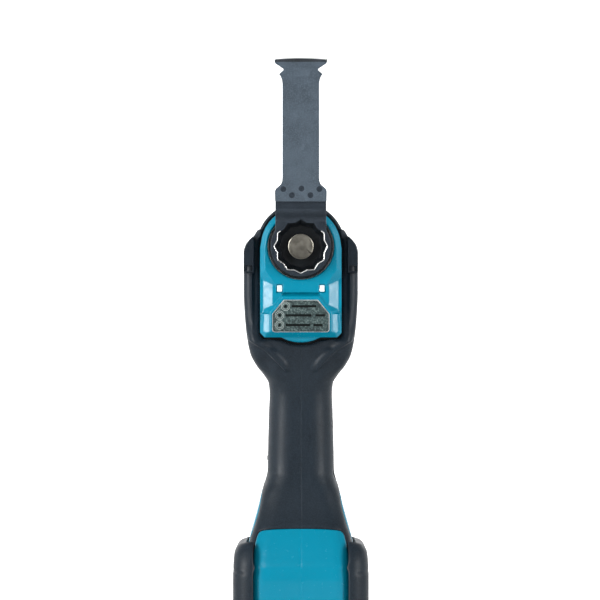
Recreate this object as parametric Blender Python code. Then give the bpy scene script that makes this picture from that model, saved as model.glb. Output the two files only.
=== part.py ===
"""A cordless oscillating multi tool, standing on its battery foot with its saw blade up.

+Z runs along the tool from the foot to the blade, -Y is the underside that faces the work, and
+Y is the side of the clamping lever. Left and right are the user's: left is +X. The origin is
on the floor, at the middle of the tool's bounding box. Sizes below are in millimetres, and
finish() turns each mesh into metres.
"""

import math
from collections import namedtuple

import bmesh
import bpy
from mathutils import Matrix, Vector

MM = 0.001
GAP = 0.3  # between two pieces that touch on the real tool
SPLIT = 0.15  # half of the gap between the left and the right housing half

# Driving dimensions
SPINDLE_Z = 248.8
MOTOR_Z = 214.4
HEAD_RADIUS = 27.3  # the round front of the head, about the spindle
HEAD_FRONT = -34.0  # the head's front face, across the tool
HEAD_BACK = 40.0
GRIP_DEPTH = 25.0  # from the tool's middle plane to the front or the back of the grip
FOOT_HALF_DEPTH = 59.0
CORE_HALF_WIDTH = 33.5  # the foot without its side bumpers
SKIN = 2.0  # thickness of the rubber
WALL = 2.5  # thickness of the housing under it

COVER_HALF_WIDTH = 24.75
COVER_TOP_RADIUS = 24.3
COVER_BOTTOM_Z = 193.6
COVER_WALL = 2.3
COVER_BASE_Y = -43.5
RING_Y = -46.0
PLATEAU_Y = -47.5
RING_HOLE = 20.2

STAR_POINTS = 12
STAR_TIP = 15.9
STAR_VALLEY = 14.5
STAR_TAPER = 2.3  # how much smaller the star is at its floor
HUB_RADIUS = 18.2
HUB_FRONT_Y = -50.5
SHEET = 1.2  # the blade hub's steel
CUP_FLOOR_Y = -44.2
BLADE_Y = -57.5

ECCENTRICITY = 1.08
CLAMP_TRAVEL = 3.0
LEVER_SWING = math.radians(110)
LEVER_Y = 44.0

Station = namedtuple("Station", "z width front back front_radius back_radius")


def head_arc(degrees):
    """A station of the housing on the head's round front."""
    width = HEAD_RADIUS * math.cos(math.radians(degrees))
    z = SPINDLE_Z + HEAD_RADIUS * math.sin(math.radians(degrees))
    radius = 0.9 * min(width, 5)
    return Station(z, width, HEAD_FRONT, HEAD_BACK, radius, radius)


FOOT_CORE = FOOT_HALF_DEPTH - 2
STATIONS = [
    Station(0, CORE_HALF_WIDTH, -FOOT_CORE, FOOT_CORE, 9, 9),
    Station(46, CORE_HALF_WIDTH, -FOOT_CORE, FOOT_CORE, 9, 9),
    Station(54, CORE_HALF_WIDTH - 0.3, -55.5, 54.5, 9, 9),
    Station(62, 33.0, -51.0, 50.5, 10, 10),
    Station(70.3, 31.7, -45.5, 45.0, 10, 10),
    Station(78, 29.6, -40.0, 40.0, 11, 11),
    Station(89, 26.6, -33.5, 33.5, 12, 12),
    Station(98, 24.4, -29.5, 29.5, 13, 12),
    Station(104.6, 22.0, -27.2, 27.5, 14, 13),
    Station(111, 20.6, -25.7, 26.0, 15, 14),
    Station(121, 20.4, -GRIP_DEPTH, GRIP_DEPTH, 15, 14),
    Station(148, 19.7, -GRIP_DEPTH, GRIP_DEPTH, 15, 14),
    Station(158, 19.3, -GRIP_DEPTH - 0.3, GRIP_DEPTH + 0.1, 14, 14),
    Station(165, 19.9, -26.5, 26.0, 13, 14),
    Station(170, 22.7, -28.0, 27.8, 12, 14),
    Station(175.5, 27.0, -29.8, 30.4, 11, 13),
    Station(183, 30.9, -32.2, 35.0, 9, 11),
    Station(192, 32.8, -33.8, 38.4, 7, 9),
    Station(205, 34.2, HEAD_FRONT, HEAD_BACK, 5, 8),
    Station(222, 35.0, HEAD_FRONT, HEAD_BACK, 5, 8),
    Station(246, 35.0, HEAD_FRONT, HEAD_BACK, 5, 8),
    Station(250.8, 33.5, HEAD_FRONT, HEAD_BACK, 5, 8),
    Station(255, 29.2, HEAD_FRONT, HEAD_BACK, 5, 7),
    Station(259, 26.6, HEAD_FRONT, HEAD_BACK, 5, 6),
] + [head_arc(degrees) for degrees in (34, 46, 57, 68, 79)]

BUMPER_STATIONS = [
    Station(1, 40.2, -58.0, 58.0, 13, 13),
    Station(4, 41.2, -FOOT_HALF_DEPTH, FOOT_HALF_DEPTH, 14, 14),
    Station(49, 41.2, -FOOT_HALF_DEPTH, FOOT_HALF_DEPTH, 14, 14),
    Station(57, 40.9, -57.0, 56.5, 14, 14),
    Station(63.6, 40.3, -53.5, 53.0, 13, 13),
    Station(67.2, 38.6, -50.5, 50.0, 12, 12),
    Station(69.3, 35.3, -48.0, 47.5, 10, 10),
]


# ---------------------------------------------------------------- building


def paint(name, colour, roughness, metallic=0.0):
    material = bpy.data.materials.new(name)
    material.use_nodes = True
    shader = material.node_tree.nodes["Principled BSDF"]
    shader.inputs["Base Color"].default_value = (*colour, 1)
    shader.inputs["Roughness"].default_value = roughness
    shader.inputs["Metallic"].default_value = metallic
    material.diffuse_color = (*colour, 1)
    return material


def axis_empty(name, x, y, z):
    """An empty on a joint's axis, which the moving pieces are parented to."""
    empty = bpy.data.objects.new(name, None)
    empty.location = Vector((x, y, z)) * MM
    bpy.context.scene.collection.objects.link(empty)
    return empty


def finish(name, bm, material=None, parent=None, sharp=35):
    """The object of a mesh drawn in millimetres, in its parent's frame."""
    bmesh.ops.remove_doubles(bm, verts=bm.verts, dist=1e-4)
    bmesh.ops.recalc_face_normals(bm, faces=bm.faces)
    bmesh.ops.transform(bm, matrix=Matrix.Scale(MM, 4), verts=bm.verts)
    mesh = bpy.data.meshes.new(name)
    bm.to_mesh(mesh)
    bm.free()
    mesh.shade_smooth()
    mesh.set_sharp_from_angle(angle=math.radians(sharp))
    obj = bpy.data.objects.new(name, mesh)
    obj.parent = parent
    bpy.context.scene.collection.objects.link(obj)
    if material:
        mesh.materials.append(material)
    else:
        obj.hide_render = True
        obj.display_type = "WIRE"
    return obj


def combine(target, operation, *others):
    for other in others:
        modifier = target.modifiers.new(f"{operation.lower()} {other.name}", "BOOLEAN")
        modifier.operation = operation
        modifier.object = other
        other.hide_render = True
        other.display_type = "WIRE"
    return target


def cut(target, *others):
    return combine(target, "DIFFERENCE", *others)


def join(target, *others):
    return combine(target, "UNION", *others)


def loft(rings):
    """A closed mesh through rings of points that have the same number of points each."""
    bm = bmesh.new()
    rows = [[bm.verts.new(point) for point in ring] for ring in rings]
    count = len(rows[0])
    for low, high in zip(rows, rows[1:]):
        for i in range(count):
            j = (i + 1) % count
            bm.faces.new((low[i], low[j], high[j], high[i]))
    bm.faces.new(rows[0])
    bm.faces.new(rows[-1])
    return bm


def prism(outline, y_low, y_high):
    """An outline of (x, z) points, pulled along Y."""
    return loft([[(x, y, z) for x, z in outline] for y in (y_low, y_high)])


def side_prism(outline, x_low, x_high):
    """An outline of (y, z) points, pulled along X."""
    return loft([[(x, y, z) for y, z in outline] for x in (x_low, x_high)])


def block(x_low, x_high, y_low, y_high, z_low, z_high):
    outline = [(x_low, z_low), (x_high, z_low), (x_high, z_high), (x_low, z_high)]
    return prism(outline, y_low, y_high)


def circle(radius, steps, z=0.0, x=0.0):
    turn = 2 * math.pi / steps
    return [(x + radius * math.cos(i * turn), z + radius * math.sin(i * turn)) for i in range(steps)]


def arc(radius, start, end, steps, z=0.0, x=0.0):
    """Points on an arc from one angle to another, in degrees from +X towards +Z."""
    angles = [math.radians(start + (end - start) * i / steps) for i in range(steps + 1)]
    return [(x + radius * math.cos(a), z + radius * math.sin(a)) for a in angles]


def turned(profile, steps=24, z=0.0, x=0.0):
    """A ring or a solid from a profile of (radius, y), about an axis along Y through (x, z)."""
    bm = bmesh.new()
    columns = []
    for i in range(steps):
        a = 2 * math.pi * i / steps
        column = [(x + r * math.cos(a), y, z + r * math.sin(a)) for r, y in profile]
        columns.append([bm.verts.new(point) for point in column])
    closed = profile[0][0] > 0
    pairs = len(profile) if closed else len(profile) - 1
    for i in range(steps):
        here, there = columns[i], columns[(i + 1) % steps]
        for j in range(pairs):
            k = (j + 1) % len(profile)
            corners = (here[j], here[k], there[k], there[j])
            bm.faces.new(corners)
    bmesh.ops.remove_doubles(bm, verts=bm.verts, dist=1e-4)
    return bm


def tube(inner, outer, y_low, y_high, steps=24, z=0.0, x=0.0):
    profile = [(inner, y_low), (outer, y_low), (outer, y_high), (inner, y_high)]
    return turned(profile, steps, z, x)


def disc(radius, y_low, y_high, steps=24, z=0.0, x=0.0):
    return prism(circle(radius, steps, z, x), y_low, y_high)


def rod_x(radius, x_low, x_high, y, z, steps=12):
    """A cylinder along X."""
    return side_prism([(y + a, z + b) for a, b in circle(radius, steps)], x_low, x_high)


def star(tip, valley, turn=0.0):
    """A twelve-pointed outline about the spindle's axis, with a tip on +X and on +Z."""
    points = []
    for i in range(2 * STAR_POINTS):
        radius = valley if i % 2 else tip
        a = math.pi * i / STAR_POINTS + turn
        points.append((radius * math.cos(a), radius * math.sin(a)))
    return points


def star_frustum(grow, y_low, y_high):
    """The star's tapering body, grown outwards, from the front level to the floor level."""
    front = star(STAR_TIP + grow, STAR_VALLEY + grow)
    floor = star(STAR_TIP - STAR_TAPER + grow, STAR_VALLEY - STAR_TAPER + grow)
    return loft([[(x, y_low, z) for x, z in front], [(x, y_high, z) for x, z in floor]])


# ---------------------------------------------------------------- the outer body


def inset(station, depth):
    """The station of a surface that lies under the outer one, or over it for a negative depth."""
    z, width = station.z, station.width - depth
    if z > 258:  # on the round of the head
        share = 1 - depth / HEAD_RADIUS
        z, width = SPINDLE_Z + (z - SPINDLE_Z) * share, station.width * share
    radii = [max(radius - depth, 0.6) for radius in station[4:]]
    return Station(z, width, station.front + depth, station.back - depth, *radii)


def half_section(station, start, side, corner=3):
    """Half of a rounded cross-section, from x = start round to the back, on one side."""
    width = max(station.width, start + 0.4)
    points = [(start, station.front)]
    for radius, edge, first in (
        (station.front_radius, station.front, -90),
        (station.back_radius, station.back, 0),
    ):
        r = min(radius, 0.9 * (width - start))
        middle = edge + r if first < 0 else edge - r
        points += arc(r, first, first + 90, corner, middle, width - r)
    points.append((start, station.back))
    return [(side * x, y, station.z) for x, y in points]


def half_loft(side, stations=STATIONS, start=SPLIT):
    return loft([half_section(s, start, side) for s in stations])


def wall_depth(z):
    """The wall is thin in the foot, and thicker where rubber lies on the housing."""
    share = min(max((z - 50) / 40, 0), 1)
    return WALL + 0.5 + share * (SKIN - 0.5 + GAP)


def cavity_loft():
    """The space inside both housing halves, open at the foot."""
    rings = []
    for s in [STATIONS[0]._replace(z=-1)] + STATIONS[1:-1]:
        inner = inset(s, wall_depth(s.z))
        left = half_section(inner, 0.0, 1)
        right = half_section(inner, 0.0, -1)
        rings.append(left + right[::-1][1:-1])
    return loft(rings)


def mouth_outline():
    """The mouth in the head's front that the gear unit stands in."""
    wide = 25.6
    left = [(-wide, 196), (-23.0, 192.3)]
    bottom = arc(25.8, -118, -62, 6, MOTOR_Z)
    return arc(wide, 0, 180, 16, SPINDLE_Z) + left + bottom + [(-x, z) for x, z in left[::-1]]


def belly_window(grow=0.0):
    """Where the rubber leaves the teal belly of the foot bare, seen from the front."""
    half = [(0, 77.0), (14, 76.9), (22, 76.3), (25.1, 75.2), (27.2, 70), (29.0, 60), (29.3, 40)]
    outline = [(x + grow * (x > 0), z + grow * (z > 45)) for x, z in half]
    return outline + [(-x, z) for x, z in outline[:0:-1]]


def side_panel(grow=0.0):
    """Where the rubber leaves the flare's sides and back bare, as (y, z)."""
    return [(-43.5 - grow, 40), (-39 - grow, 62), (-30 - grow, 80), (-20 - grow, 97), (-14, 99.5 + grow),
            (70, 99.5 + grow), (70, 40)]


def spine_outline(shrink=0.0):
    """The strip along the tool's back that the rubber leaves bare."""
    half = [(5.0 - shrink, 90)]
    for s in STATIONS:
        if 98 <= s.z <= 250:
            half.append((min(max(s.width - s.back_radius, 4.5), 18.5) - shrink, s.z))
    half.append((18.5 - shrink, 262 - shrink))
    return half + [(-x, z) for x, z in half[::-1]]


def skin(name, side, gap=0.0, material=None):
    """The rubber on one housing half or, with a gap, the room it takes in that half."""
    stations = [s for s in STATIONS if s.z >= 54]
    stations[0] = stations[0]._replace(z=54 - gap)
    outer = [inset(s, -1.0 if gap else 0.0) for s in stations]
    shape = finish(name, half_loft(side, outer, SPLIT - 3 * gap), material)
    under = [inset(s, SKIN + gap) for s in [stations[0]._replace(z=40)] + stations]
    tools = [
        finish(f"{name} inside", half_loft(side, under, -2.0)),
        finish(f"{name} window", prism(belly_window(-gap), -80, -20)),
        finish(f"{name} panel", side_prism(side_panel(-gap), -60, 60)),
        finish(f"{name} spine", prism(spine_outline(gap), 5, 80)),
    ]
    return cut(shape, *tools)


def ear(side):
    """The pad on each side of the head's front, with the slot for a dust nozzle's hook."""
    outline = [(28.6, 233.2), (34.8, 233.2), (34.95, 245.6), (33.4, 250.6), (31.2, 252.8), (28.6, 255.0)]
    front = [(x - 0.5 * (x > 30), z) for x, z in outline]
    rings = [[(side * x, y, z) for x, z in ring] for y, ring in ((-38.5, front), (-37.5, outline), (-32.2, outline))]
    return loft(rings)


SCREWS = [(22, 264.4, 14.8), (14, 183.0, 27.5), (-10, 140.0, 15.6), (-12, 108.0, 16.6), (-14, 84.0, 24.0)]


def housing_half(side, name, materials):
    half = finish(name, half_loft(side), materials["teal"])
    bosses, holes = [], []
    for index, (y, z, head_x) in enumerate(SCREWS):
        low, high = sorted((side * SPLIT, side * (head_x + 0.8)))
        bosses.append(finish(f"{name} boss {index}", rod_x(5.2 if side > 0 else 4.2, low, high, y, z)))
        if side > 0:
            holes.append(finish(f"{name} shank hole {index}", rod_x(2.1, -1, head_x + 1, y, z)))
            holes.append(finish(f"{name} head hole {index}", rod_x(3.9, head_x - 2.6, 45, y, z)))
        else:
            holes.append(finish(f"{name} pilot hole {index}", rod_x(2.1, -10.5, 1, y, z)))
    cut(half, bpy.data.objects["cavity"])
    join(half, *bosses)
    cut(half, *holes, skin(f"{name} skin room", side, GAP))
    mouths = ("head mouth", "lever mouth", "switch slot", "dial slot", "battery mouth")
    return cut(half, *[bpy.data.objects[mouth] for mouth in mouths])


def overmold(side, name, materials):
    rubber = skin(name, side, material=materials["rubber"])
    join(rubber, finish(f"{name} ear", ear(side)))
    slot_low, slot_high = sorted((side * 29.4, side * 40))
    cut(rubber, finish(f"{name} ear slot", block(slot_low, slot_high, -45, -35.4, 233.9, 237.4)))
    cut(rubber, *[bpy.data.objects[mouth] for mouth in ("head mouth", "switch slot", "dial slot")])
    if side > 0:
        for index, (y, z, head_x) in enumerate(SCREWS):
            cut(rubber, finish(f"{name} screw well {index}", rod_x(4.0, head_x - 2.6, 45, y, z)))
    return rubber


def outer_body(materials):
    finish("cavity", cavity_loft())
    finish("head mouth", prism(mouth_outline(), -80, -8))
    finish("lever mouth", block(-17, 17, 30, 80, 237.5, 260.5))
    finish("switch slot", block(-3.2, 3.2, 14, 40, 135.5, 151.5))
    finish("dial slot", turned_z(12.5, 115.2, 120.4, DIAL_X, DIAL_Y))
    finish("battery mouth", block(-27, 27, -80, -48, -5, 14.2))
    for side, hand in ((1, "left"), (-1, "right")):
        housing_half(side, f"housing_{hand}", materials)
        overmold(side, f"overmold_{hand}", materials)
        bumper(side, f"foot_bumper_{hand}", materials)
    for index, (y, z, head_x) in enumerate(SCREWS):
        finish(f"housing_screw_{index + 1}", screw(head_x, y, z), materials["steel"])


def bumper(side, name, materials):
    piece = finish(name, half_loft(side, BUMPER_STATIONS, 28.6), materials["rubber"])
    room = [inset(s, -GAP) for s in [STATIONS[0]._replace(z=-1)] + STATIONS[1:6]]
    return cut(piece, finish(f"{name} room", half_loft(side, room, -1.0)))


def screw(head_x, y, z):
    """A pan-head screw along X, with its head on the left."""
    profile = [(0, -8.5), (1.7, -8.5), (1.7, head_x - 2.2), (3.4, head_x - 2.2), (3.4, head_x - 0.8), (2.4, head_x), (0, head_x)]
    bm = turned(profile, 12)
    swap = Matrix(((0, 1, 0, 0), (0, 0, 1, y), (1, 0, 0, z), (0, 0, 0, 1)))
    bmesh.ops.transform(bm, matrix=swap, verts=bm.verts)
    return bm


# ---------------------------------------------------------------- the gear unit


def cover_outline(inset=0.0):
    """The gear unit as seen from the front: round at the top, chamfered at the bottom."""
    wide = COVER_HALF_WIDTH - inset
    low = COVER_BOTTOM_Z + inset
    top = arc(COVER_TOP_RADIUS - inset, 15, 165, 14, SPINDLE_Z)
    chamfer = 2.7 - 0.4 * inset
    left = [(-wide, SPINDLE_Z - 2), (-wide, low + chamfer), (-wide + chamfer, low)]
    return top + left + [(-x, z) for x, z in left[::-1]]


def ring_plateau():
    """The raised face around the tool holder, down to its V-shaped lower edge."""
    half = [(0, 220.4), (12.0, 220.4), (14.6, 223.2), (16.4, 226.4), (23.2, 237.2), (23.2, 249)]
    top = [(x, z) for x, z in arc(22.9, 12, 168, 12, SPINDLE_Z)]
    return half[1:] + top + [(-x, z) for x, z in half[:0:-1]]


def plate_outline(grow=0.0):
    """The information plate: a rectangle with its two upper corners cut off."""
    half = [(10.3, 216.3), (17.3, 207.8), (17.3, 198.4), (15.9, 196.9)]
    centre = Vector((0, 205))
    points = half + [(-x, z) for x, z in half[::-1]]
    scale = 1 + grow / 14
    return [tuple(centre + (Vector(p) - centre) * scale) for p in points]


def plateau_bm():
    """The raised field that carries the plate, with sloping sides."""
    rings = []
    for y, grow in ((COVER_BASE_Y + 1, 4.4), (COVER_BASE_Y - 0.4, 4.2), (PLATEAU_Y, 1.3)):
        ring = [(x, y, max(z, COVER_BOTTOM_Z + 0.6)) for x, z in plate_outline(grow)]
        rings.append(ring)
    return loft(rings)


def head_cover(materials):
    cover = finish("head_cover", prism(cover_outline(), COVER_BASE_Y, -22), materials["teal"])
    join(
        cover,
        finish("cover ring plateau", prism(ring_plateau(), RING_Y, COVER_BASE_Y + 1)),
        finish("cover plate plateau", plateau_bm()),
        finish("cover lip", prism(arc(24.0, -127, -53, 8, MOTOR_Z) + [(14.4, 198), (-14.4, 198)], -41, -22)),
    )
    lenses = [
        finish(f"lens pocket {side}", block(side * 12.9 - 1.75, side * 12.9 + 1.75, -50, -40, 220.9, 225.7))
        for side in (-1, 1)
    ]
    return cut(
        cover,
        finish("cover inside", prism(cover_outline(COVER_WALL), COVER_BASE_Y + COVER_WALL, -15)),
        finish("cover hole", disc(RING_HOLE, -60, -35, 36, SPINDLE_Z)),
        finish("plate pocket", prism(plate_outline(GAP), -60, PLATEAU_Y + 0.8)),
        *lenses,
    )


def gear_unit(materials):
    head_cover(materials)
    finish("info_plate", prism(plate_outline(), PLATEAU_Y + 0.05, PLATEAU_Y + 0.5), materials["plate"])
    for side, hand in ((1, "left"), (-1, "right")):
        lens = block(side * 12.9 - 1.45, side * 12.9 + 1.45, RING_Y - 0.2, -42.5, 221.2, 225.4)
        finish(f"led_lens_{hand}", lens, materials["lens"])
    finish("led_board", block(-16, 16, -40.9, -39.6, 219.4, 227.6), materials["board"])

    inside = COVER_WALL + GAP
    plate = finish("bearing_plate", prism(cover_outline(inside), -39.2, -31.5), materials["alloy"])
    cut(
        plate,
        finish("front bearing seat", disc(16.25, -38.2, -20, 20, SPINDLE_Z)),
        finish("front shaft hole", disc(11.2, -50, -30, 20, SPINDLE_Z)),
    )
    gears = finish("gear_housing", prism(cover_outline(inside), -31.2, -10), materials["alloy"])
    join(gears, finish("spring neck", disc(10.0, -11, 34, 24, SPINDLE_Z)))
    pocket = cover_outline(inside + 3.2)
    cut(
        gears,
        finish("gear pocket", prism(pocket, -50, -20.5)),
        finish("rear spindle seat", disc(12.25, -30, -13.2, 20, SPINDLE_Z)),
        finish("spring bore", disc(7.8, -10, 50, 20, SPINDLE_Z)),
        finish("rod hole", disc(5.2, -20, 20, 16, SPINDLE_Z)),
        finish("rotor bearing seat", disc(11.25, -30, -13.2, 20, MOTOR_Z)),
        finish("rotor shaft hole", disc(6.5, -20, 0, 20, MOTOR_Z)),
    )
    finish("dust_seal", tube(10.4, 17.2, -40.2, -39.5, 24, SPINDLE_Z), materials["rubber"])
    finish("spindle_bearing_front", tube(10.2, 16.0, -37.9, -31.6, 20, SPINDLE_Z), materials["steel"])
    finish("spindle_bearing_rear", tube(7.7, 12.0, -20.2, -13.5, 20, SPINDLE_Z), materials["steel"])
    finish("clamp_spring", coil(6.2, 0.85, -9.0, 23.6, 5, SPINDLE_Z), materials["steel"])
    for index, (side, z) in enumerate(((1, 238), (1, 207), (-1, 238), (-1, 207))):
        low, high = sorted((side * 22.5, side * 28.3))
        finish(f"isolator_{index + 1}", rod_x(4.6, low, high, -16, z, 10), materials["rubber"])


def coil(radius, wire, y_low, y_high, turns, z):
    """A compression spring about an axis along Y."""
    steps_per_turn, sides = 10, 5
    rows = []
    steps = turns * steps_per_turn
    for i in range(steps + 1):
        a = 2 * math.pi * i / steps_per_turn
        y = y_low + wire + (y_high - y_low - 2 * wire) * i / steps
        out = Vector((math.cos(a), 0, math.sin(a)))
        row = []
        for k in range(sides):
            b = 2 * math.pi * k / sides
            point = Vector((0, y, z)) + out * (radius + wire * math.cos(b)) + Vector((0, wire * math.sin(b), 0))
            row.append(tuple(point))
        rows.append(row)
    return loft(rows)


def motor(materials):
    shell = [(0, 33.2), (8.3, 33.2), (8.3, 28.0), (9.8, 28.0), (9.8, 30.6), (18.6, 30.6), (22.3, 27.4), (22.3, -9.7),
             (24.0, -9.7), (24.0, 28.6), (19.6, 32.2), (11.0, 34.5), (0, 34.5)]
    finish("motor_housing", turned(shell, 28, MOTOR_Z), materials["teal"])
    core = finish("stator_core", tube(11.6, 22.0, -4, 16, 24, MOTOR_Z), materials["lamination"])
    for index in range(6):
        slot = block(-2.6, 2.6, -10, 25, 10.0, 18.5)
        turn = Matrix.Translation((0, 0, MOTOR_Z)) @ Matrix.Rotation(math.radians(60 * index + 30), 4, "Y")
        bmesh.ops.transform(slot, matrix=turn, verts=slot.verts)
        cut(core, finish(f"stator slot {index}", slot))
    finish("winding_front", ring_coil(-9.2, -4.3), materials["copper"])
    finish("winding_rear", ring_coil(16.3, 21.2), materials["copper"])
    finish("rotor_bearing_front", tube(4.2, 11.0, -20.2, -13.5, 20, MOTOR_Z), materials["steel"])
    finish("rotor_bearing_rear", tube(4.2, 8.0, 28.2, 32.9, 20, MOTOR_Z), materials["steel"])


def ring_coil(y_low, y_high):
    soft = 1.2
    profile = [(13.2, y_low + soft), (13.2 + soft, y_low), (20.4 - soft, y_low), (20.4, y_low + soft),
               (20.4, y_high), (13.2, y_high)]
    return turned(profile, 20, MOTOR_Z)


def rotor(materials, axis):
    drop = -ECCENTRICITY
    shaft = finish("rotor_shaft", disc(4.0, -20.6, 32.6, 16), materials["steel"], axis)
    join(shaft, finish("crank pin", disc(3.0, -30, -19, 12, drop), None, axis))
    finish("rotor_core", tube(4.3, 10.9, -4, 16, 20), materials["lamination"], axis)
    finish("eccentric_bearing", tube(3.3, 8.0, -29.6, -24.6, 20, drop), materials["steel"], axis)
    weight = arc(11.5, 15, 165, 10) + arc(4.3, 165, 15, 8)
    finish("balance_weight", prism(weight, -23.8, -21.4), materials["brass"], axis)
    fan = finish("cooling_fan", tube(4.3, 9.0, 22.0, 27.2, 20), materials["dark"], axis)
    for index in range(9):
        vane = block(-0.6, 0.6, 22.6, 27.0, 8.0, 19.5)
        slant = Matrix.Rotation(math.radians(40 * index), 4, "Y")
        bmesh.ops.transform(vane, matrix=slant, verts=vane.verts)
        join(fan, finish(f"fan vane {index}", vane, None, axis))


# ---------------------------------------------------------------- spindle, clamp and blade


def spindle(materials, axis):
    holder = finish("tool_holder", turned([(5.6, -48.0), (5.6, -40.5), (17.6, -40.5), (19.4, -42.5), (19.4, -48.6),
                                           (19.0, -49.0), (6.0, -49.0)], 36), materials["black_steel"], axis)
    socket_room = SHEET + 0.25
    cut(holder, finish("star socket", star_frustum(socket_room, HUB_FRONT_Y, CUP_FLOOR_Y + SHEET + 0.3), None, axis))
    shaft = [(5.6, -40.2), (10.0, -40.2), (10.0, -24.0), (7.5, -22.0), (7.5, -13.6), (5.6, -13.6)]
    finish("spindle_shaft", turned(shaft, 24), materials["steel"], axis)
    swing_arm(materials, axis)


def swing_arm(materials, axis):
    """The ring on the spindle and the fork that reaches down round the eccentric."""
    drop = MOTOR_Z - SPINDLE_Z
    gap = 8.0 + 2 * ECCENTRICITY + 0.4
    inner = [(4, drop + 12.5), (gap - 2.5, drop + 9.5), (gap, drop + 4), (gap, drop - 8)]
    outer = [(14.2, drop - 8), (14.2, drop + 10), (11.5, drop + 20)]
    right = inner + outer
    outline = right + arc(14.2, -38, 218, 14) + [(-x, z) for x, z in right[::-1]]
    arm = finish("swing_arm", prism(outline, -30.0, -24.4), materials["steel"], axis)
    cut(arm, finish("arm bore", disc(10.3, -40, -20, 20), None, axis))


def clamp(materials, axis):
    head = [(0, -46.4), (5.4, -47.0), (7.2, -47.4), (7.7, -47.0), (7.7, -44.5), (4.6, -44.5), (4.6, 20.0), (4.2, 20.6),
            (4.2, 36.6), (3.6, 37.15), (0, 37.15)]
    bolt = finish("clamp_bolt", turned(head, 28), materials["steel"], axis)
    mark = block(-0.35, 0.35, -50, -46.0, -9, -5.0)
    bmesh.ops.transform(mark, matrix=Matrix.Rotation(math.radians(-57), 4, "Y"), verts=mark.verts)
    cut(bolt, finish("bolt mark", mark, None, axis))
    finish("spring_collar", tube(4.5, 7.3, 23.9, 27.2, 20), materials["steel"], axis)


def hub_outline():
    """The hub's flat steel: a disc with a tongue that the blade is welded to."""
    foot_angle = math.degrees(math.acos(15.4 / HUB_RADIUS))
    return arc(HUB_RADIUS, 180 - foot_angle, 360 + foot_angle, 26)


def blade(materials, axis):
    disc_points = hub_outline()
    tongue = 15.4
    levels = [(11.0, HUB_FRONT_Y), (14.5, HUB_FRONT_Y), (22.0, -56.1), (24.0, -56.2), (33.0, -56.2)]
    flat = prism(disc_points + [(tongue, 13.6), (-tongue, 13.6)], HUB_FRONT_Y, HUB_FRONT_Y + SHEET)
    hub = finish("blade_hub", flat, materials["blade_dark"], axis)
    rows = [[(-tongue, y, z), (tongue, y, z), (tongue, y + SHEET, z), (-tongue, y + SHEET, z)] for z, y in levels]
    join(hub, finish("hub tongue", loft(rows), None, axis))
    join(hub, finish("hub cup", star_frustum(SHEET, HUB_FRONT_Y + 0.2, CUP_FLOOR_Y + SHEET), None, axis))
    cut(
        hub,
        finish("cup inside", star_frustum(0.0, HUB_FRONT_Y - 0.1, CUP_FLOOR_Y), None, axis),
        finish("cup hole", disc(5.3, -60, -35, 20), None, axis),
    )
    finish("blade_strip", prism(strip_outline(), BLADE_Y, BLADE_Y + 1.0), materials["blade"], axis)


def strip_outline():
    """The blade from its welded root to its teeth, about the spindle's axis."""
    root = [(15.7, 27.0), (15.7, 33.2), (15.2, 34.4), (12.0, 37.2), (11.2, 40.2)]
    neck = [(11.15, 98.8), (11.7, 101.8), (13.3, 103.9), (10.4, 106.4), (10.6, 107.2), (15.7, 110.6), (15.9, 113.3)]
    teeth = []
    count = 22
    for i in range(2 * count - 1):
        x = 15.6 - 31.2 * (i + 0.5) / (2 * count)
        arch = 0.8 * (1 - (x / 15.6) ** 2)
        teeth.append((x, 113.3 + arch - 0.9 * (i % 2)))
    half = root + neck
    return half + teeth + [(-x, z) for x, z in half[::-1]]


# ---------------------------------------------------------------- lever


def lever_bracket(materials):
    bracket = finish("lever_bracket", block(-13, 13, 34.3, 37.0, 238.8, 258.8), materials["alloy"])
    for side in (-1, 1):
        low, high = sorted((side * 8.0, side * 11.0))
        ear_outline = [(36, 242.0), (36, 255.6)] + [(LEVER_Y + a, SPINDLE_Z + b) for a, b in arc(6.2, 80, -80, 8)]
        join(bracket, finish(f"bracket ear {side}", side_prism(ear_outline, low, high)))
    cut(
        bracket,
        finish("bracket window", block(-7.7, 7.7, 30, 41, 241.6, 256.0)),
        finish("bracket pin hole", rod_x(2.6, -20, 20, LEVER_Y, SPINDLE_Z, 16)),
    )
    finish("lever_pin", rod_x(2.5, -15.2, 15.2, LEVER_Y, SPINDLE_Z, 16), materials["steel"])


def cam_outline():
    """A spiral, so that the rod moves in step with the lever. Points are (y, z) about the pin."""
    points = []
    steps = 11
    for i in range(steps + 1):
        share = i / steps
        a = math.pi - LEVER_SWING * share
        radius = 6.5 + CLAMP_TRAVEL * share
        points.append((radius * math.cos(a), radius * math.sin(a)))
    return points + [(7.6, 0), (7.2, -9), (2.4, -13), (-2.0, -11.5), (-5.2, -3.6)]


def lock_lever(materials, axis):
    """The paddle along the head's back, with an arm either side of the bracket and the cam between."""
    rows = []
    for z, low, high, wide in ((-9.6, 0.6, 7.4, 15.0), (-16, 0.6, 8.6, 15.2), (-34, 0.4, 9.0, 15.4), (-50, 1.0, 9.6, 15.0),
                               (-60, 2.2, 11.6, 13.6), (-64.5, 5.0, 13.4, 11.0)):
        soft = 1.6
        rows.append([(-wide, low, z), (wide, low, z), (wide, high - soft, z), (wide - soft * 1.6, high, z),
                     (-wide + soft * 1.6, high, z), (-wide, high - soft, z)])
    lever = finish("lock_lever", loft(rows), materials["dark"], axis)
    for side in (-1, 1):
        low, high = sorted((side * 11.4, side * 15.0))
        arm = [(-5.2, -4.0), (0.7, -12), (7.3, -12)] + [(a, b) for a, b in arc(7.0, -8, 205, 12)]
        join(lever, finish(f"lever arm {side}", side_prism(arm, low, high), None, axis))
    join(lever, finish("lever cam", side_prism(cam_outline(), -7.4, 7.4), None, axis))
    return cut(lever, finish("lever pin hole", rod_x(2.62, -20, 20, 0, 0, 16), None, axis))


# ---------------------------------------------------------------- controls and foot

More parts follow.
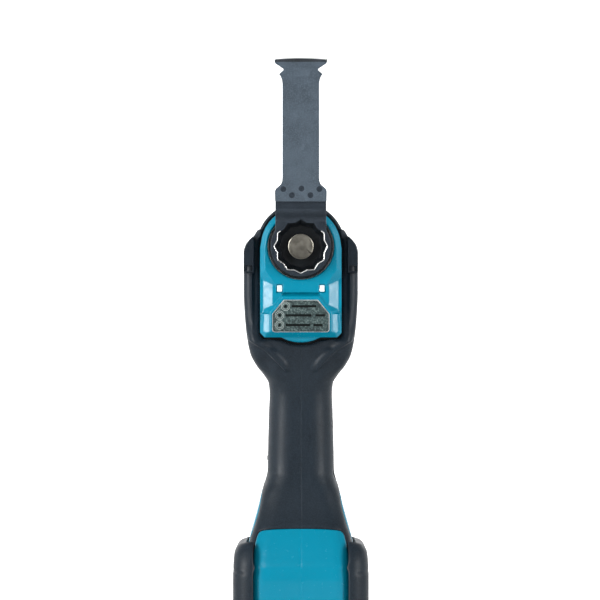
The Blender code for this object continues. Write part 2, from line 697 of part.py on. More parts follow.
DIAL_X, DIAL_Y, DIAL_Z = -9.05, 13.1, 117.8


def turned_z(radius, z_low, z_high, x, y, steps=28):
    """A cylinder along Z."""
    return loft([[(x + a, y + b, z) for a, b in circle(radius, steps)] for z in (z_low, z_high)])


def controls(materials, switch_axis, dial_axis):
    slider = finish("switch_slider", block(-7, 7, 0.5, 3.6, -11, 11), materials["dark"], switch_axis)
    join(slider, finish("switch stem", block(-2.6, 2.6, -6.2, 1.5, -4.0, 4.0), None, switch_axis))
    for index in range(4):
        z = -7.5 + 3.4 * index
        join(slider, finish(f"switch rib {index}", block(-5.6, 5.6, 3.0, 4.4, z, z + 1.4), None, switch_axis))
    finish("micro_switch", block(-5.5, 5.5, 8.0, 17.6, 131.5, 151), materials["dark"])

    knurls = 24
    points = [((12.0 - 0.5 * (i % 2)) * math.cos(math.pi * i / knurls), (12.0 - 0.5 * (i % 2)) * math.sin(math.pi * i / knurls))
              for i in range(2 * knurls)]
    wheel = loft([[(x, y, z) for x, y in points] for z in (-2.2, 2.2)])
    finish("speed_dial", wheel, materials["dark"], dial_axis)
    finish("dial_potentiometer", block(DIAL_X - 4.5, DIAL_X + 4.5, DIAL_Y - 5, DIAL_Y + 2.5, 103, 115), materials["board"])


def foot_parts(materials):
    half = [(27, 14), (27, 3.8), (24, 3.8), (24, 0.4), (30.1, 0.4), (30.1, 16.6)]
    profile = half + [(-x, z) for x, z in half[::-1]]
    rails = finish("battery_rails", prism(profile, -49, 49), materials["dark"])
    cut(rails, finish("terminal window", block(-15.4, 15.4, 17.9, 42.1, 5, 25)))
    finish("terminal_block", block(-15, 15, 18.3, 41.7, 12, 24), materials["dark"])
    for side, sign in ((1, "plus"), (-1, "minus")):
        finish(f"terminal_{sign}", block(side * 9 - 0.5, side * 9 + 0.5, 21, 39, 4.6, 11.7), materials["brass"])
    finish("controller", block(-22, 22, -30, 30, 27.5, 41), materials["dark"])
    route = [(9, -2, 41.4), (9.5, -2, 60), (10, -1.5, 90), (9, -1.5, 120), (9, -3, 165), (8, -8, 188)]
    rings = [[(x + a, y + b, z) for a, b in circle(2.4, 8)] for x, y, z in route]
    finish("motor_harness", loft(rings), materials["rubber"])


# ---------------------------------------------------------------- assembly


def main():
    for obj in list(bpy.data.objects):
        bpy.data.objects.remove(obj)
    materials = {
        "teal": paint("teal plastic", (0.0, 0.21, 0.29), 0.3),
        "rubber": paint("soft black rubber", (0.03, 0.045, 0.058), 0.6),
        "dark": paint("black plastic", (0.02, 0.022, 0.025), 0.45),
        "alloy": paint("cast alloy", (0.5, 0.51, 0.52), 0.45, 1.0),
        "steel": paint("steel", (0.38, 0.37, 0.34), 0.3, 1.0),
        "black_steel": paint("black steel", (0.02, 0.02, 0.022), 0.4, 0.8),
        "blade": paint("blade steel", (0.1, 0.12, 0.15), 0.45, 0.6),
        "blade_dark": paint("phosphated steel", (0.04, 0.05, 0.065), 0.45, 0.6),
        "plate": paint("grey plate", (0.06, 0.09, 0.1), 0.4, 0.4),
        "lens": paint("clear lens", (0.8, 0.85, 0.9), 0.1),
        "board": paint("circuit board", (0.02, 0.12, 0.05), 0.5),
        "lamination": paint("lamination", (0.25, 0.25, 0.26), 0.5, 0.9),
        "copper": paint("copper", (0.6, 0.25, 0.1), 0.35, 1.0),
        "brass": paint("brass", (0.7, 0.5, 0.2), 0.3, 1.0),
    }
    spindle_axis = axis_empty("spindle axis", 0, 0, SPINDLE_Z)
    rotor_axis = axis_empty("rotor axis", 0, 0, MOTOR_Z)
    lever_axis = axis_empty("lever axis", 0, LEVER_Y, SPINDLE_Z)
    switch_axis = axis_empty("switch rail", 0, GRIP_DEPTH, 140)
    dial_axis = axis_empty("dial axis", DIAL_X, DIAL_Y, DIAL_Z)
    outer_body(materials)
    gear_unit(materials)
    motor(materials)
    rotor(materials, rotor_axis)
    spindle(materials, spindle_axis)
    clamp(materials, spindle_axis)
    blade(materials, spindle_axis)
    lever_bracket(materials)
    lock_lever(materials, lever_axis)
    controls(materials, switch_axis, dial_axis)
    foot_parts(materials)


main()
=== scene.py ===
"""The looks of a cordless oscillating multi tool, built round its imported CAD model.

Sizes here are in millimetres in the CAD model's frame, and piece() turns them into metres.
-Y is the side of the tool with the blade, which the camera sees. Left is +X.
"""

import math

import bmesh
import bpy
import numpy as np
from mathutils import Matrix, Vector


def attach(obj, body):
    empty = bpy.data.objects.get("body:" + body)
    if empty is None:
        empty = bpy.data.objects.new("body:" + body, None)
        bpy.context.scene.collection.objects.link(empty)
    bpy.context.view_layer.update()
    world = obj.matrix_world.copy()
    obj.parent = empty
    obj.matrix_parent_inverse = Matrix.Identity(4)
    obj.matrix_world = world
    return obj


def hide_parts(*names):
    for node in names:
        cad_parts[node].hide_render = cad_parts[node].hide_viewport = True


MM = 0.001
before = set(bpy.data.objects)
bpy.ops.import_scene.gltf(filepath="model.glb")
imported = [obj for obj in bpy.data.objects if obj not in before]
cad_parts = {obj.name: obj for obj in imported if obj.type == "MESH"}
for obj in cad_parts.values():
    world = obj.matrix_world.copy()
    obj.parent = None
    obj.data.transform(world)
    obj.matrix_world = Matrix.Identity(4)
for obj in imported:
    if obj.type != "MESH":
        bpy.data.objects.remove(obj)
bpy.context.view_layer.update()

SPINDLE_Z = 248.8
MOTOR_Z = 214.4
HEAD_RADIUS = 27.3
HEAD_FRONT = -34.0
HEAD_BACK = 40.0
SPLIT = 0.0  # the halves meet on the middle plane, where a groove marks the joint
SKIN = 2.0
ARCH_Z = 259.0  # where the head's round top begins
BODY_TOP = 277  # above the highest point of the housing
RUBBER_LOW = 52.6
BUMPER_LOW, BUMPER_TOP = 0.6, 69.8
BUMPER_INNER = 27.9
PAD_DEPTH = 8.2
LENS_X = 12.9
BLADE_FRONT, BLADE_BACK = -57.5, -56.5
LIT_POINT = (0, 0, 200)
FLOOR_FLAT, WALL_RADIUS = 2500, 1500
STEP = 0.8  # spacing of the points on the housing
LEVER_Y = 44.0
DIAL = (-9.05, 13.1, 117.8)
SWITCH_Z = 140.0
LEAN = 0.53  # slope of the cover's glossy flanks
SCREWS = [(22, 264.4, 14.8), (14, 183.0, 27.5), (-10, 140.0, 15.6), (-12, 108.0, 16.6), (-14, 84.0, 24.0)]

# z, half width, front, back, front corner radius, back corner radius
STATIONS = np.array([
    (0, 33.5, -57, 57, 12.5, 9),
    (46, 33.5, -57, 57, 12.5, 9),
    (54, 33.2, -55.5, 54.5, 12.5, 9),
    (62, 33.0, -51.0, 50.5, 13, 10),
    (70.3, 31.7, -45.5, 45.0, 13, 10),
    (78, 29.6, -40.0, 40.0, 13, 11),
    (89, 26.6, -33.5, 33.5, 13, 12),
    (98, 24.4, -29.5, 29.5, 13, 12),
    (104.6, 22.0, -27.2, 27.5, 14, 13),
    (111, 20.6, -25.7, 26.0, 15, 14),
    (121, 20.4, -25.0, 25.0, 15, 14),
    (148, 19.7, -25.0, 25.0, 15, 14),
    (158, 19.3, -25.3, 25.1, 14, 14),
    (165, 19.9, -26.5, 26.0, 13, 14),
    (170, 22.7, -28.0, 27.8, 12, 14),
    (175.5, 27.0, -29.8, 30.4, 11, 13),
    (183, 30.9, -32.2, 35.0, 9, 11),
    (192, 32.8, -33.8, 38.4, 7, 9),
    (205, 34.2, HEAD_FRONT, HEAD_BACK, 5, 8),
    (222, 35.0, HEAD_FRONT, HEAD_BACK, 5, 8),
    (246, 35.0, HEAD_FRONT, HEAD_BACK, 5, 8),
    (250.8, 33.5, HEAD_FRONT, HEAD_BACK, 5, 8),
    (255, 29.2, HEAD_FRONT, HEAD_BACK, 5, 7),
    (259, 26.6, HEAD_FRONT, HEAD_BACK, 5, 6),
    (276.1, 0.0, HEAD_FRONT, HEAD_BACK, 5, 5),
], float)

BUMPER_STATIONS = np.array([
    (0.6, 39.6, -57.4, 57.4, 13, 13),
    (1.6, 40.7, -58.5, 58.5, 13, 13),
    (4, 41.2, -59.0, 59.0, 14, 14),
    (49, 41.2, -59.0, 59.0, 14, 14),
    (57, 40.9, -57.0, 56.5, 14, 14),
    (63.6, 40.3, -53.5, 53.0, 13, 13),
    (67.2, 38.6, -50.5, 50.0, 12, 12),
    (68.8, 36.4, -48.8, 48.3, 11, 11),
    (69.8, 33.4, -46.8, 46.4, 10, 10),
], float)


# ---------------------------------------------------------------- materials


def new_material(name):
    material = bpy.data.materials.new(name)
    material.use_nodes = True
    tree = material.node_tree
    return material, tree, tree.nodes["Principled BSDF"]


def noise(tree, size, detail=2.0, stretch=(1, 1, 1)):
    """A noise whose grains are about size millimetres across."""
    place = tree.nodes.new("ShaderNodeTexCoord")
    mapping = tree.nodes.new("ShaderNodeMapping")
    mapping.inputs["Scale"].default_value = stretch
    texture = tree.nodes.new("ShaderNodeTexNoise")
    texture.inputs["Scale"].default_value = 1 / (size * MM)
    texture.inputs["Detail"].default_value = detail
    tree.links.new(place.outputs["Object"], mapping.inputs["Vector"])
    tree.links.new(mapping.outputs["Vector"], texture.inputs["Vector"])
    return texture.outputs["Fac"]


def ramp(tree, value, stops):
    """A colour or grey ramp: stops of (position, colour or number)."""
    node = tree.nodes.new("ShaderNodeValToRGB")
    elements = node.color_ramp.elements
    while len(elements) < len(stops):
        elements.new(0.5)
    for element, (position, colour) in zip(elements, stops):
        element.position = position
        element.color = (*colour, 1) if isinstance(colour, tuple) else (colour, colour, colour, 1)
    tree.links.new(value, node.inputs["Fac"])
    return node.outputs["Color"]


def mix(tree, share, low, high):
    node = tree.nodes.new("ShaderNodeMix")
    node.data_type = "RGBA"
    tree.links.new(share, node.inputs["Factor"])
    for socket, colour in ((node.inputs[6], low), (node.inputs[7], high)):
        if isinstance(colour, tuple):
            socket.default_value = (*colour, 1)
        else:
            tree.links.new(colour, socket)
    return node.outputs[2]


def bump(tree, shader, height, depth, strength=1.0, under=None):
    """Relief of about depth millimetres, over any relief already there."""
    node = tree.nodes.new("ShaderNodeBump")
    node.inputs["Distance"].default_value = depth * MM
    node.inputs["Strength"].default_value = strength
    tree.links.new(height, node.inputs["Height"])
    if under:
        tree.links.new(under, node.inputs["Normal"])
    tree.links.new(node.outputs["Normal"], shader.inputs["Normal"])
    return node.outputs["Normal"]


def shade(colour, factor):
    return tuple(min(channel * factor, 1) for channel in colour)


def moulded(name, colour, rough, grain, relief, spread=0.25, speckle=1.3, coat=0.0, specular=0.5):
    """Plastic or rubber: a mottled colour, uneven gloss and a fine moulded grain."""
    material, tree, shader = new_material(name)
    broad = noise(tree, 22, 3)
    fine = noise(tree, grain, 3)
    tint = ramp(tree, broad, [(0.3, shade(colour, 1 - spread)), (0.7, shade(colour, 1 + spread))])
    speck = ramp(tree, fine, [(0.36, 0.0), (0.72, 1.0)])
    tree.links.new(mix(tree, speck, tint, shade(colour, speckle)), shader.inputs["Base Color"])
    gloss = ramp(tree, noise(tree, grain * 4, 4), [(0.3, rough - 0.04), (0.7, rough + 0.06)])
    tree.links.new(gloss, shader.inputs["Roughness"])
    shader.inputs["Coat Weight"].default_value = coat
    shader.inputs["Coat Roughness"].default_value = 0.12
    shader.inputs["Specular IOR Level"].default_value = specular
    soft = bump(tree, shader, noise(tree, grain * 7, 2), relief * 0.8, 0.35)
    bump(tree, shader, fine, relief, 0.8, soft)
    return material


def metal(name, colour, rough, brush=None, relief=0.004, spread=0.2, metallic=1.0):
    """Metal with cloudy staining and brush marks along one direction."""
    material, tree, shader = new_material(name)
    shader.inputs["Metallic"].default_value = metallic
    cloud = noise(tree, 9, 5)
    tint = ramp(tree, cloud, [(0.32, shade(colour, 1 - spread)), (0.68, shade(colour, 1 + spread))])
    speck = ramp(tree, noise(tree, 0.9, 3), [(0.45, 0.0), (0.75, 1.0)])
    tree.links.new(mix(tree, speck, tint, shade(colour, 1.35)), shader.inputs["Base Color"])
    gloss = ramp(tree, noise(tree, 2.6, 4), [(0.3, rough - 0.07), (0.7, rough + 0.09)])
    tree.links.new(gloss, shader.inputs["Roughness"])
    marks = noise(tree, 0.5, 3, brush or (1, 1, 1))
    bump(tree, shader, marks, relief, 0.6)
    return material


def turned_metal(name, colour, rough, centre_z):
    """Steel with the fine rings that a lathe leaves about an axis along Y."""
    material, tree, shader = new_material(name)
    shader.inputs["Metallic"].default_value = 1.0
    place = tree.nodes.new("ShaderNodeTexCoord")
    mapping = tree.nodes.new("ShaderNodeMapping")
    mapping.inputs["Location"].default_value = (0, 0, -centre_z * MM)
    rings = tree.nodes.new("ShaderNodeTexWave")
    rings.wave_type = "RINGS"
    rings.rings_direction = "Y"
    rings.inputs["Scale"].default_value = 260
    rings.inputs["Distortion"].default_value = 0.6
    rings.inputs["Detail"].default_value = 2
    tree.links.new(place.outputs["Object"], mapping.inputs["Vector"])
    tree.links.new(mapping.outputs["Vector"], rings.inputs["Vector"])
    cloud = noise(tree, 3.5, 4)
    tint = ramp(tree, cloud, [(0.3, shade(colour, 0.78)), (0.7, shade(colour, 1.18))])
    tree.links.new(tint, shader.inputs["Base Color"])
    gloss = ramp(tree, cloud, [(0.3, rough - 0.05), (0.7, rough + 0.08)])
    tree.links.new(gloss, shader.inputs["Roughness"])
    bump(tree, shader, rings.outputs["Fac"], 0.02, 0.4)
    return material


def stamped_plate(name):
    """The printed plate: a dark, grey-green ground with a crinkled metallic pattern."""
    material, tree, shader = new_material(name)
    shader.inputs["Metallic"].default_value = 0.35
    crinkle = noise(tree, 1.0, 4)
    stops = [(0.36, (0.006, 0.013, 0.014)), (0.52, (0.022, 0.04, 0.04)), (0.7, (0.085, 0.12, 0.115))]
    tint = ramp(tree, crinkle, stops)
    tree.links.new(tint, shader.inputs["Base Color"])
    tree.links.new(ramp(tree, crinkle, [(0.3, 0.38), (0.7, 0.55)]), shader.inputs["Roughness"])
    bump(tree, shader, crinkle, 0.06, 0.5)
    return material


def make_materials():
    rubber = (0.006, 0.0095, 0.0135)
    teal = (0.0, 0.125, 0.192)
    return {
        "rubber": moulded("grip rubber", rubber, 0.42, 0.75, 0.1, 0.2, 1.6, 0.0, 0.13),
        "teal": moulded("teal nylon", teal, 0.22, 0.6, 0.003, 0.04, 1.05, 0.0, 0.17),
        "black": moulded("black plastic", (0.007, 0.009, 0.011), 0.38, 0.7, 0.03, 0.2, 1.4, 0.0, 0.22),
        # near-black: the holder's own blackened steel, and also painted shade inside the hub's star cup and in
        # the gap round the gear cover
        "deep_black": moulded("blackened steel and painted shade", (0.003, 0.004, 0.005), 0.32, 0.6, 0.01, 0.2, 1.2, 0.0, 0.14),
        "blade": metal("blued blade", (0.056, 0.074, 0.094), 0.44, (1, 1, 0.12), 0.006, 0.16, 0.7),
        "hub": metal("phosphated hub", (0.015, 0.021, 0.029), 0.4, None, 0.01, 0.12, 0.7),
        "teeth": metal("painted teeth", (0.014, 0.017, 0.021), 0.4, None, 0.01, 0.3, 0.4),
        "bolt": turned_metal("clamp bolt steel", (0.16, 0.152, 0.13), 0.34, SPINDLE_Z),
        "steel": metal("machined steel", (0.5, 0.5, 0.49), 0.26, (0.1, 1, 1), 0.004, 0.08),
        "silver": metal("silver edge", (0.6, 0.61, 0.6), 0.26),
        "alloy": metal("cast alloy", (0.5, 0.51, 0.52), 0.45, None, 0.02, 0.1),
        "plate": stamped_plate("printed plate"),
        "faint": metal("plate ring", (0.26, 0.3, 0.29), 0.5, None, 0.01, 0.1, 0.4),
        "ink": moulded("plate ink", (0.003, 0.004, 0.004), 0.5, 0.5, 0.002, 0.1, 1.2, 0.0, 0.05),
        "lens": moulded("clear lens", (0.4, 0.5, 0.54), 0.12, 0.8, 0.004, 0.1, 1.1, 0.3, 0.5),
        "board": moulded("circuit board", (0.01, 0.1, 0.04), 0.4, 1.2, 0.01, 0.2),
        "lamination": metal("laminated core", (0.3, 0.3, 0.31), 0.4, (1, 40, 1), 0.02, 0.15),
        "copper": metal("copper wire", (0.62, 0.26, 0.1), 0.32, (1, 12, 1), 0.05, 0.15),
        "brass": metal("brass", (0.72, 0.52, 0.2), 0.28),
    }


# ---------------------------------------------------------------- mesh making


def piece(name, vertices, faces, material, body=None, slot=None, stands_for=(), sharp=38):
    """A piece of the object from points in millimetres."""
    mesh = bpy.data.meshes.new(name)
    mesh.from_pydata((np.asarray(vertices, float) * MM).tolist(), [], faces)
    mesh.validate()
    solid = bmesh.new()
    solid.from_mesh(mesh)
    bmesh.ops.recalc_face_normals(solid, faces=solid.faces)
    solid.to_mesh(mesh)
    solid.free()
    mesh.shade_smooth()
    if sharp:
        mesh.set_sharp_from_angle(angle=math.radians(sharp))
    obj = bpy.data.objects.new(name, mesh)
    bpy.context.scene.collection.objects.link(obj)
    if material:
        mesh.materials.append(material)
    if body:
        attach(obj, body)
        if stands_for:
            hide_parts(*stands_for)
    return obj


def lofted(rings, closed=True):
    """Vertices and faces through rings of equally many points, capped at both ends."""
    rings = [np.asarray(ring, float) for ring in rings]
    count = len(rings[0])
    faces = []
    for row in range(len(rings) - 1):
        for i in range(count if closed else count - 1):
            j = (i + 1) % count
            a, b = row * count, (row + 1) * count
            faces.append((a + i, a + j, b + j, b + i))
    if closed:
        faces.append(tuple(range(count - 1, -1, -1)))
        faces.append(tuple(range((len(rings) - 1) * count, len(rings) * count)))
    return np.concatenate(rings), faces


def merged(*parts):
    """Several (vertices, faces) as one."""
    vertices, faces, offset = [], [], 0
    for points, polygons in parts:
        vertices.append(np.asarray(points, float))
        faces += [tuple(i + offset for i in polygon) for polygon in polygons]
        offset += len(points)
    return np.concatenate(vertices), faces


def prism(outline, y_low, y_high):
    return lofted([[(x, y, z) for x, z in outline] for y in (y_low, y_high)])


def side_prism(outline, x_low, x_high):
    return lofted([[(x, y, z) for y, z in outline] for x in (x_low, x_high)])


def arc(radius, start, end, steps, z=0.0, x=0.0):
    angles = np.radians(np.linspace(start, end, steps + 1))
    return [(x + radius * math.cos(a), z + radius * math.sin(a)) for a in angles]


def turned(profile, steps=96, z=0.0, x=0.0):
    """A solid or ring from a closed or axis-to-axis profile of (radius, y), about Y."""
    angles = np.arange(steps) * 2 * math.pi / steps
    vertices = [(x + r * math.cos(a), y, z + r * math.sin(a)) for a in angles for r, y in profile]
    count = len(profile)
    pairs = count if profile[0][0] > 0 else count - 1
    faces = []
    for i in range(steps):
        a, b = i * count, (i + 1) % steps * count
        for j in range(pairs):
            k = (j + 1) % count
            face = [a + j, b + j, b + k, a + k]
            if profile[j][0] == 0:
                face = [a + j, b + k, a + k]
            elif profile[k][0] == 0:
                face = [a + j, b + j, a + k]
            faces.append(tuple(face))
    return vertices, faces


def rod_x(radius, x_low, x_high, y, z, steps=32):
    ring = [(y + a, z + b) for a, b in arc(radius, 0, 360 - 360 / steps, steps - 1)]
    return side_prism(ring, x_low, x_high)


def cutter(name, parts):
    return piece(name, *merged(*parts), None)


def apply_boolean(obj, operation, tool, solver="EXACT"):
    modifier = obj.modifiers.new("cut", "BOOLEAN")
    modifier.operation = operation
    modifier.solver = solver
    modifier.object = tool
    settle(obj)
    bpy.data.objects.remove(tool)


def settle(obj):
    """The object's mesh with its modifiers applied."""
    graph = bpy.context.evaluated_depsgraph_get()
    graph.update()
    final = obj.evaluated_get(graph)
    mesh = bpy.data.meshes.new_from_object(final, preserve_all_data_layers=True, depsgraph=graph)
    obj.modifiers.clear()
    old = obj.data
    obj.data = mesh
    bpy.data.meshes.remove(old)


def soften(obj, width, segments=2, angle=35):
    """A small rounded edge wherever two faces meet sharply."""
    modifier = obj.modifiers.new("rounded edges", "BEVEL")
    modifier.width = width * MM
    modifier.segments = segments
    modifier.limit_method = "ANGLE"
    modifier.angle_limit = math.radians(angle)
    modifier.harden_normals = True
    modifier.use_clamp_overlap = True
    return obj


def smoothstep(value, low, high):
    t = np.clip((value - low) / (high - low), 0, 1)
    return t * t * (3 - 2 * t)


def outside(outline, px, pz):
    """Distance from an outline of (x, z) points: positive outside it, negative inside."""
    px, pz = np.asarray(px, float), np.asarray(pz, float)
    best = np.full(px.shape, 1e9)
    inside = np.zeros(px.shape, bool)
    points = np.asarray(outline, float)
    for (ax, az), (bx, bz) in zip(points, np.roll(points, -1, axis=0)):
        ex, ez = bx - ax, bz - az
        t = np.clip(((px - ax) * ex + (pz - az) * ez) / (ex * ex + ez * ez), 0, 1)
        best = np.minimum(best, np.hypot(px - ax - t * ex, pz - az - t * ez))
        crosses = (az > pz) != (bz > pz)
        where = ax + (pz - az) * ex / (ez if ez else 1e-9)
        inside ^= crosses & (px < where)
    return np.where(inside, -best, best)


def mirrored(half):
    """A closed outline from its +X half, which runs round from the middle or the side."""
    return half + [(-x, z) for x, z in half[::-1] if x > 1e-6]


# ---------------------------------------------------------------- the body's surface


def follow(table, z):
    """Every column of a table of stations at heights z, on smooth curves that don't overshoot."""
    x = table[:, 0]
    gaps = np.diff(x)
    columns = []
    for y in table[:, 1:].T:
        slopes = np.diff(y) / gaps
        tangents = np.zeros(len(x))
        for i in range(1, len(x) - 1):
            if slopes[i - 1] * slopes[i] > 0:
                w1, w2 = 2 * gaps[i] + gaps[i - 1], gaps[i] + 2 * gaps[i - 1]
                tangents[i] = (w1 + w2) / (w1 / slopes[i - 1] + w2 / slopes[i])
        k = np.clip(np.searchsorted(x, z) - 1, 0, len(gaps) - 1)
        t = (z - x[k]) / gaps[k]
        h = gaps[k]
        a, b = y[k], y[k + 1]
        columns.append(
            a * (1 + 2 * t) * (1 - t) ** 2 + h * tangents[k] * t * (1 - t) ** 2
            + b * t * t * (3 - 2 * t) + h * tangents[k + 1] * t * t * (t - 1)
        )
    return columns


def heights(low, high):
    """Levels up the body. They crowd together where the head's round front closes."""
    levels = list(np.arange(low, min(high, ARCH_Z), STEP))
    if high > ARCH_Z:
        first = math.asin((ARCH_Z - SPINDLE_Z) / HEAD_RADIUS)
        last = math.radians(89.7)
        angles = np.linspace(first, last, int((last - first) * HEAD_RADIUS / STEP))
        levels += list(SPINDLE_Z + HEAD_RADIUS * np.sin(angles))
    else:
        levels.append(high)
    return np.array(levels)


def body_grid(table, low, high, start=SPLIT):
    """Points on the left half of the body: a grid of levels by steps round the section."""
    z = heights(low, high)
    width, front, back, front_radius, back_radius = follow(table, z)
    arch = z > ARCH_Z
    width = np.where(arch, np.sqrt(np.maximum(HEAD_RADIUS ** 2 - (z - SPINDLE_Z) ** 2, 0.01)), width)
    width = np.maximum(width, start + 0.1)
    front_radius = np.minimum(front_radius, 0.9 * (width - start))
    back_radius = np.minimum(back_radius, 0.9 * (width - start))
    flat, corner, side = int(28 / STEP), int(10 / STEP), int(64 / STEP)
    rows_x, rows_y = [], []
    for t in np.linspace(0, 1, flat, endpoint=False):
        rows_x.append(start + t * (width - front_radius - start))
        rows_y.append(front)
    for a in np.radians(np.linspace(-90, 0, corner, endpoint=False)):
        rows_x.append(width - front_radius + front_radius * math.cos(a))
        rows_y.append(front + front_radius + front_radius * math.sin(a))
    for t in np.linspace(0, 1, side, endpoint=False):
        rows_x.append(width)
        rows_y.append(front + front_radius + t * (back - back_radius - front - front_radius))
    for a in np.radians(np.linspace(0, 90, corner, endpoint=False)):
        rows_x.append(width - back_radius + back_radius * math.cos(a))
        rows_y.append(back - back_radius + back_radius * math.sin(a))
    for t in np.linspace(0, 1, flat):
        rows_x.append(width - back_radius + t * (start - width + back_radius))
        rows_y.append(back)
    x, y = np.array(rows_x).T, np.array(rows_y).T
    return np.stack([x, y, np.repeat(z[:, None], x.shape[1], axis=1)], axis=2)


def outward(grid):
    """The unit normals of a grid of points, pointing away from the body."""
    up = np.gradient(grid, axis=0)
    along = np.gradient(grid, axis=1)
    normal = np.cross(along, up)
    normal /= np.linalg.norm(normal, axis=2, keepdims=True) + 1e-9
    return normal


def thick_sheet(grid, depth, side, keep=None):
    """A closed shell from a grid of points and a depth under it, for one side of the tool."""
    inner = grid - outward(grid) * depth
    lows, highs = grid.min(axis=1, keepdims=True), grid.max(axis=1, keepdims=True)
    inner[..., :2] = np.clip(inner[..., :2], lows[..., :2], highs[..., :2])
    inner[..., 0] = np.maximum(inner[..., 0], SPLIT)
    rows, columns = grid.shape[:2]
    index = np.arange(rows * columns).reshape(rows, columns)
    under = index + rows * columns
    faces = []
    kept = np.ones((rows - 1, columns - 1), bool) if keep is None else keep
    for i, j in zip(*np.nonzero(kept)):
        faces.append((index[i, j], index[i, j + 1], index[i + 1, j + 1], index[i + 1, j]))
        faces.append((under[i, j], under[i + 1, j], under[i + 1, j + 1], under[i, j + 1]))
    for i, j in zip(*np.nonzero(kept)):
        walls = []
        if i == 0 or not kept[i - 1, j]:
            walls.append((index[i, j], index[i, j + 1]))
        if i == rows - 2 or not kept[i + 1, j]:
            walls.append((index[i + 1, j + 1], index[i + 1, j]))
        if j == 0 or not kept[i, j - 1]:
            walls.append((index[i + 1, j], index[i, j]))
        if j == columns - 2 or not kept[i, j + 1]:
            walls.append((index[i, j + 1], index[i + 1, j + 1]))
        shift = rows * columns
        faces += [(a + shift, b + shift, b, a) for a, b in walls]
    points = np.concatenate([grid.reshape(-1, 3), inner.reshape(-1, 3)])
    used = np.unique(np.array(faces))
    renumber = np.full(len(points), -1)
    renumber[used] = np.arange(len(used))
    faces = renumber[np.array(faces)]
    points = points[used]
    if side < 0:
        points = points * (-1, 1, 1)
        faces = faces[:, ::-1]
    return points, [tuple(face) for face in faces.tolist()]


def belly(grow=0.0):
    """The bare front of the foot, as (x, z)."""
    half = [(29.3, 52), (29.2, 58), (28.6, 63.5), (27.6, 69), (26.6, 72.6), (25.6, 74.6), (24.2, 75.6),
            (22, 76.1), (17, 76.6), (10, 76.9), (0, 77.0)]
    half = [(x + grow * (x > 0), z + grow * (z > 53)) for x, z in half]
    return half + [(-x, z) for x, z in half[-2::-1]]


def flank(grow=0.0):
    """The bare sides and back of the flare above the foot, as (y, z)."""
    return [(-44.0 - grow, 45), (-43.0 - grow, 52), (-39.5 - grow, 61), (-30.5 - grow, 79.5),
            (-23.0 - grow, 92.5), (-19.5 - grow, 97 + grow), (-16.5, 99 + grow), (-12, 99.5 + grow),
            (80, 99.5 + grow), (80, 45)]


def spine(grow=0.0):
    """The bare strip along the tool's back, as (x, z)."""
    levels = np.linspace(98, 250, 40)
    width, _, _, _, radius = follow(STATIONS, levels)
    half = [(5.0 + grow, 90)]
    half += [(float(np.clip(w - r, 4.5, 18.5)) + grow, float(z)) for w, r, z in zip(width, radius, levels)]
    half += [(18.5 + grow, 258), (17.5 + grow, 261 + grow), (15 + grow, 262 + grow)]
    return half + [(-x, z) for x, z in half[::-1]]


def rubber_margin(grid):
    """How far each point lies inside the rubber, from the nearest edge of a bare window."""
    x, y, z = grid[..., 0], grid[..., 1], grid[..., 2]
    from_belly = np.where(y < -20, outside(belly(), x, z), 99)
    from_flank = outside(flank(), y, z)
    from_spine = np.where(y > 5, outside(spine(), x, z), 99)
    return np.minimum(np.minimum(from_belly, from_flank), np.minimum(from_spine, z - 52))


def bare_cutter(name, grow):
    """Everything that the rubber leaves bare, as one solid."""
    flank_solid = piece(name, *side_prism(flank(grow), -60, 60), None)
    for index, part in enumerate((
        prism(belly(grow), -80, -20),
        prism(spine(grow), 4, 80),
        lofted([[(x * 60, y * 90, z) for x, y in ((-1, -1), (1, -1), (1, 1), (-1, 1))] for z in (-20, 52.5)]),
    )):
        tool = piece(f"{name} {index}", *part, None)
        apply_boolean(flank_solid, "UNION", tool)
    return flank_solid


def mouth_outline(grow=0.0):
    wide = 25.6 + grow
    left = [(-wide, 196), (-wide + 0.9, 193.6 - grow), (-23.0 - grow, 192.3 - grow)]
    bottom = arc(25.8 + grow, -118, -62, 16, MOTOR_Z)
    return arc(wide, 0, 180, 48, SPINDLE_Z) + left + bottom + [(-x, z) for x, z in left[::-1]]


def box(x_low, x_high, y_low, y_high, z_low, z_high):
    outline = [(x_low, z_low), (x_high, z_low), (x_high, z_high), (x_low, z_high)]
    return prism(outline, y_low, y_high)


def rounded_box(x_half, z_low, z_high, y_low, y_high, radius):
    """A box along Y with rounded corners, for slots."""
    outline = []
    corners = ((x_half, z_high, 0), (-x_half, z_high, 90), (-x_half, z_low, 180), (x_half, z_low, 270))
    for cx, cz, first in corners:
        inward_x = cx - math.copysign(radius, cx)
        inward_z = cz - (radius if first < 180 else -radius)
        outline += arc(radius, first, first + 90, 5, inward_z, inward_x)
    return prism(outline, y_low, y_high)


def dial_slot():
    x, y, z = DIAL
    ring = arc(12.6, 0, 355, 71)
    return lofted([[(x + a, y + b, level) for a, b in ring] for level in (z - 2.6, z + 2.6)])


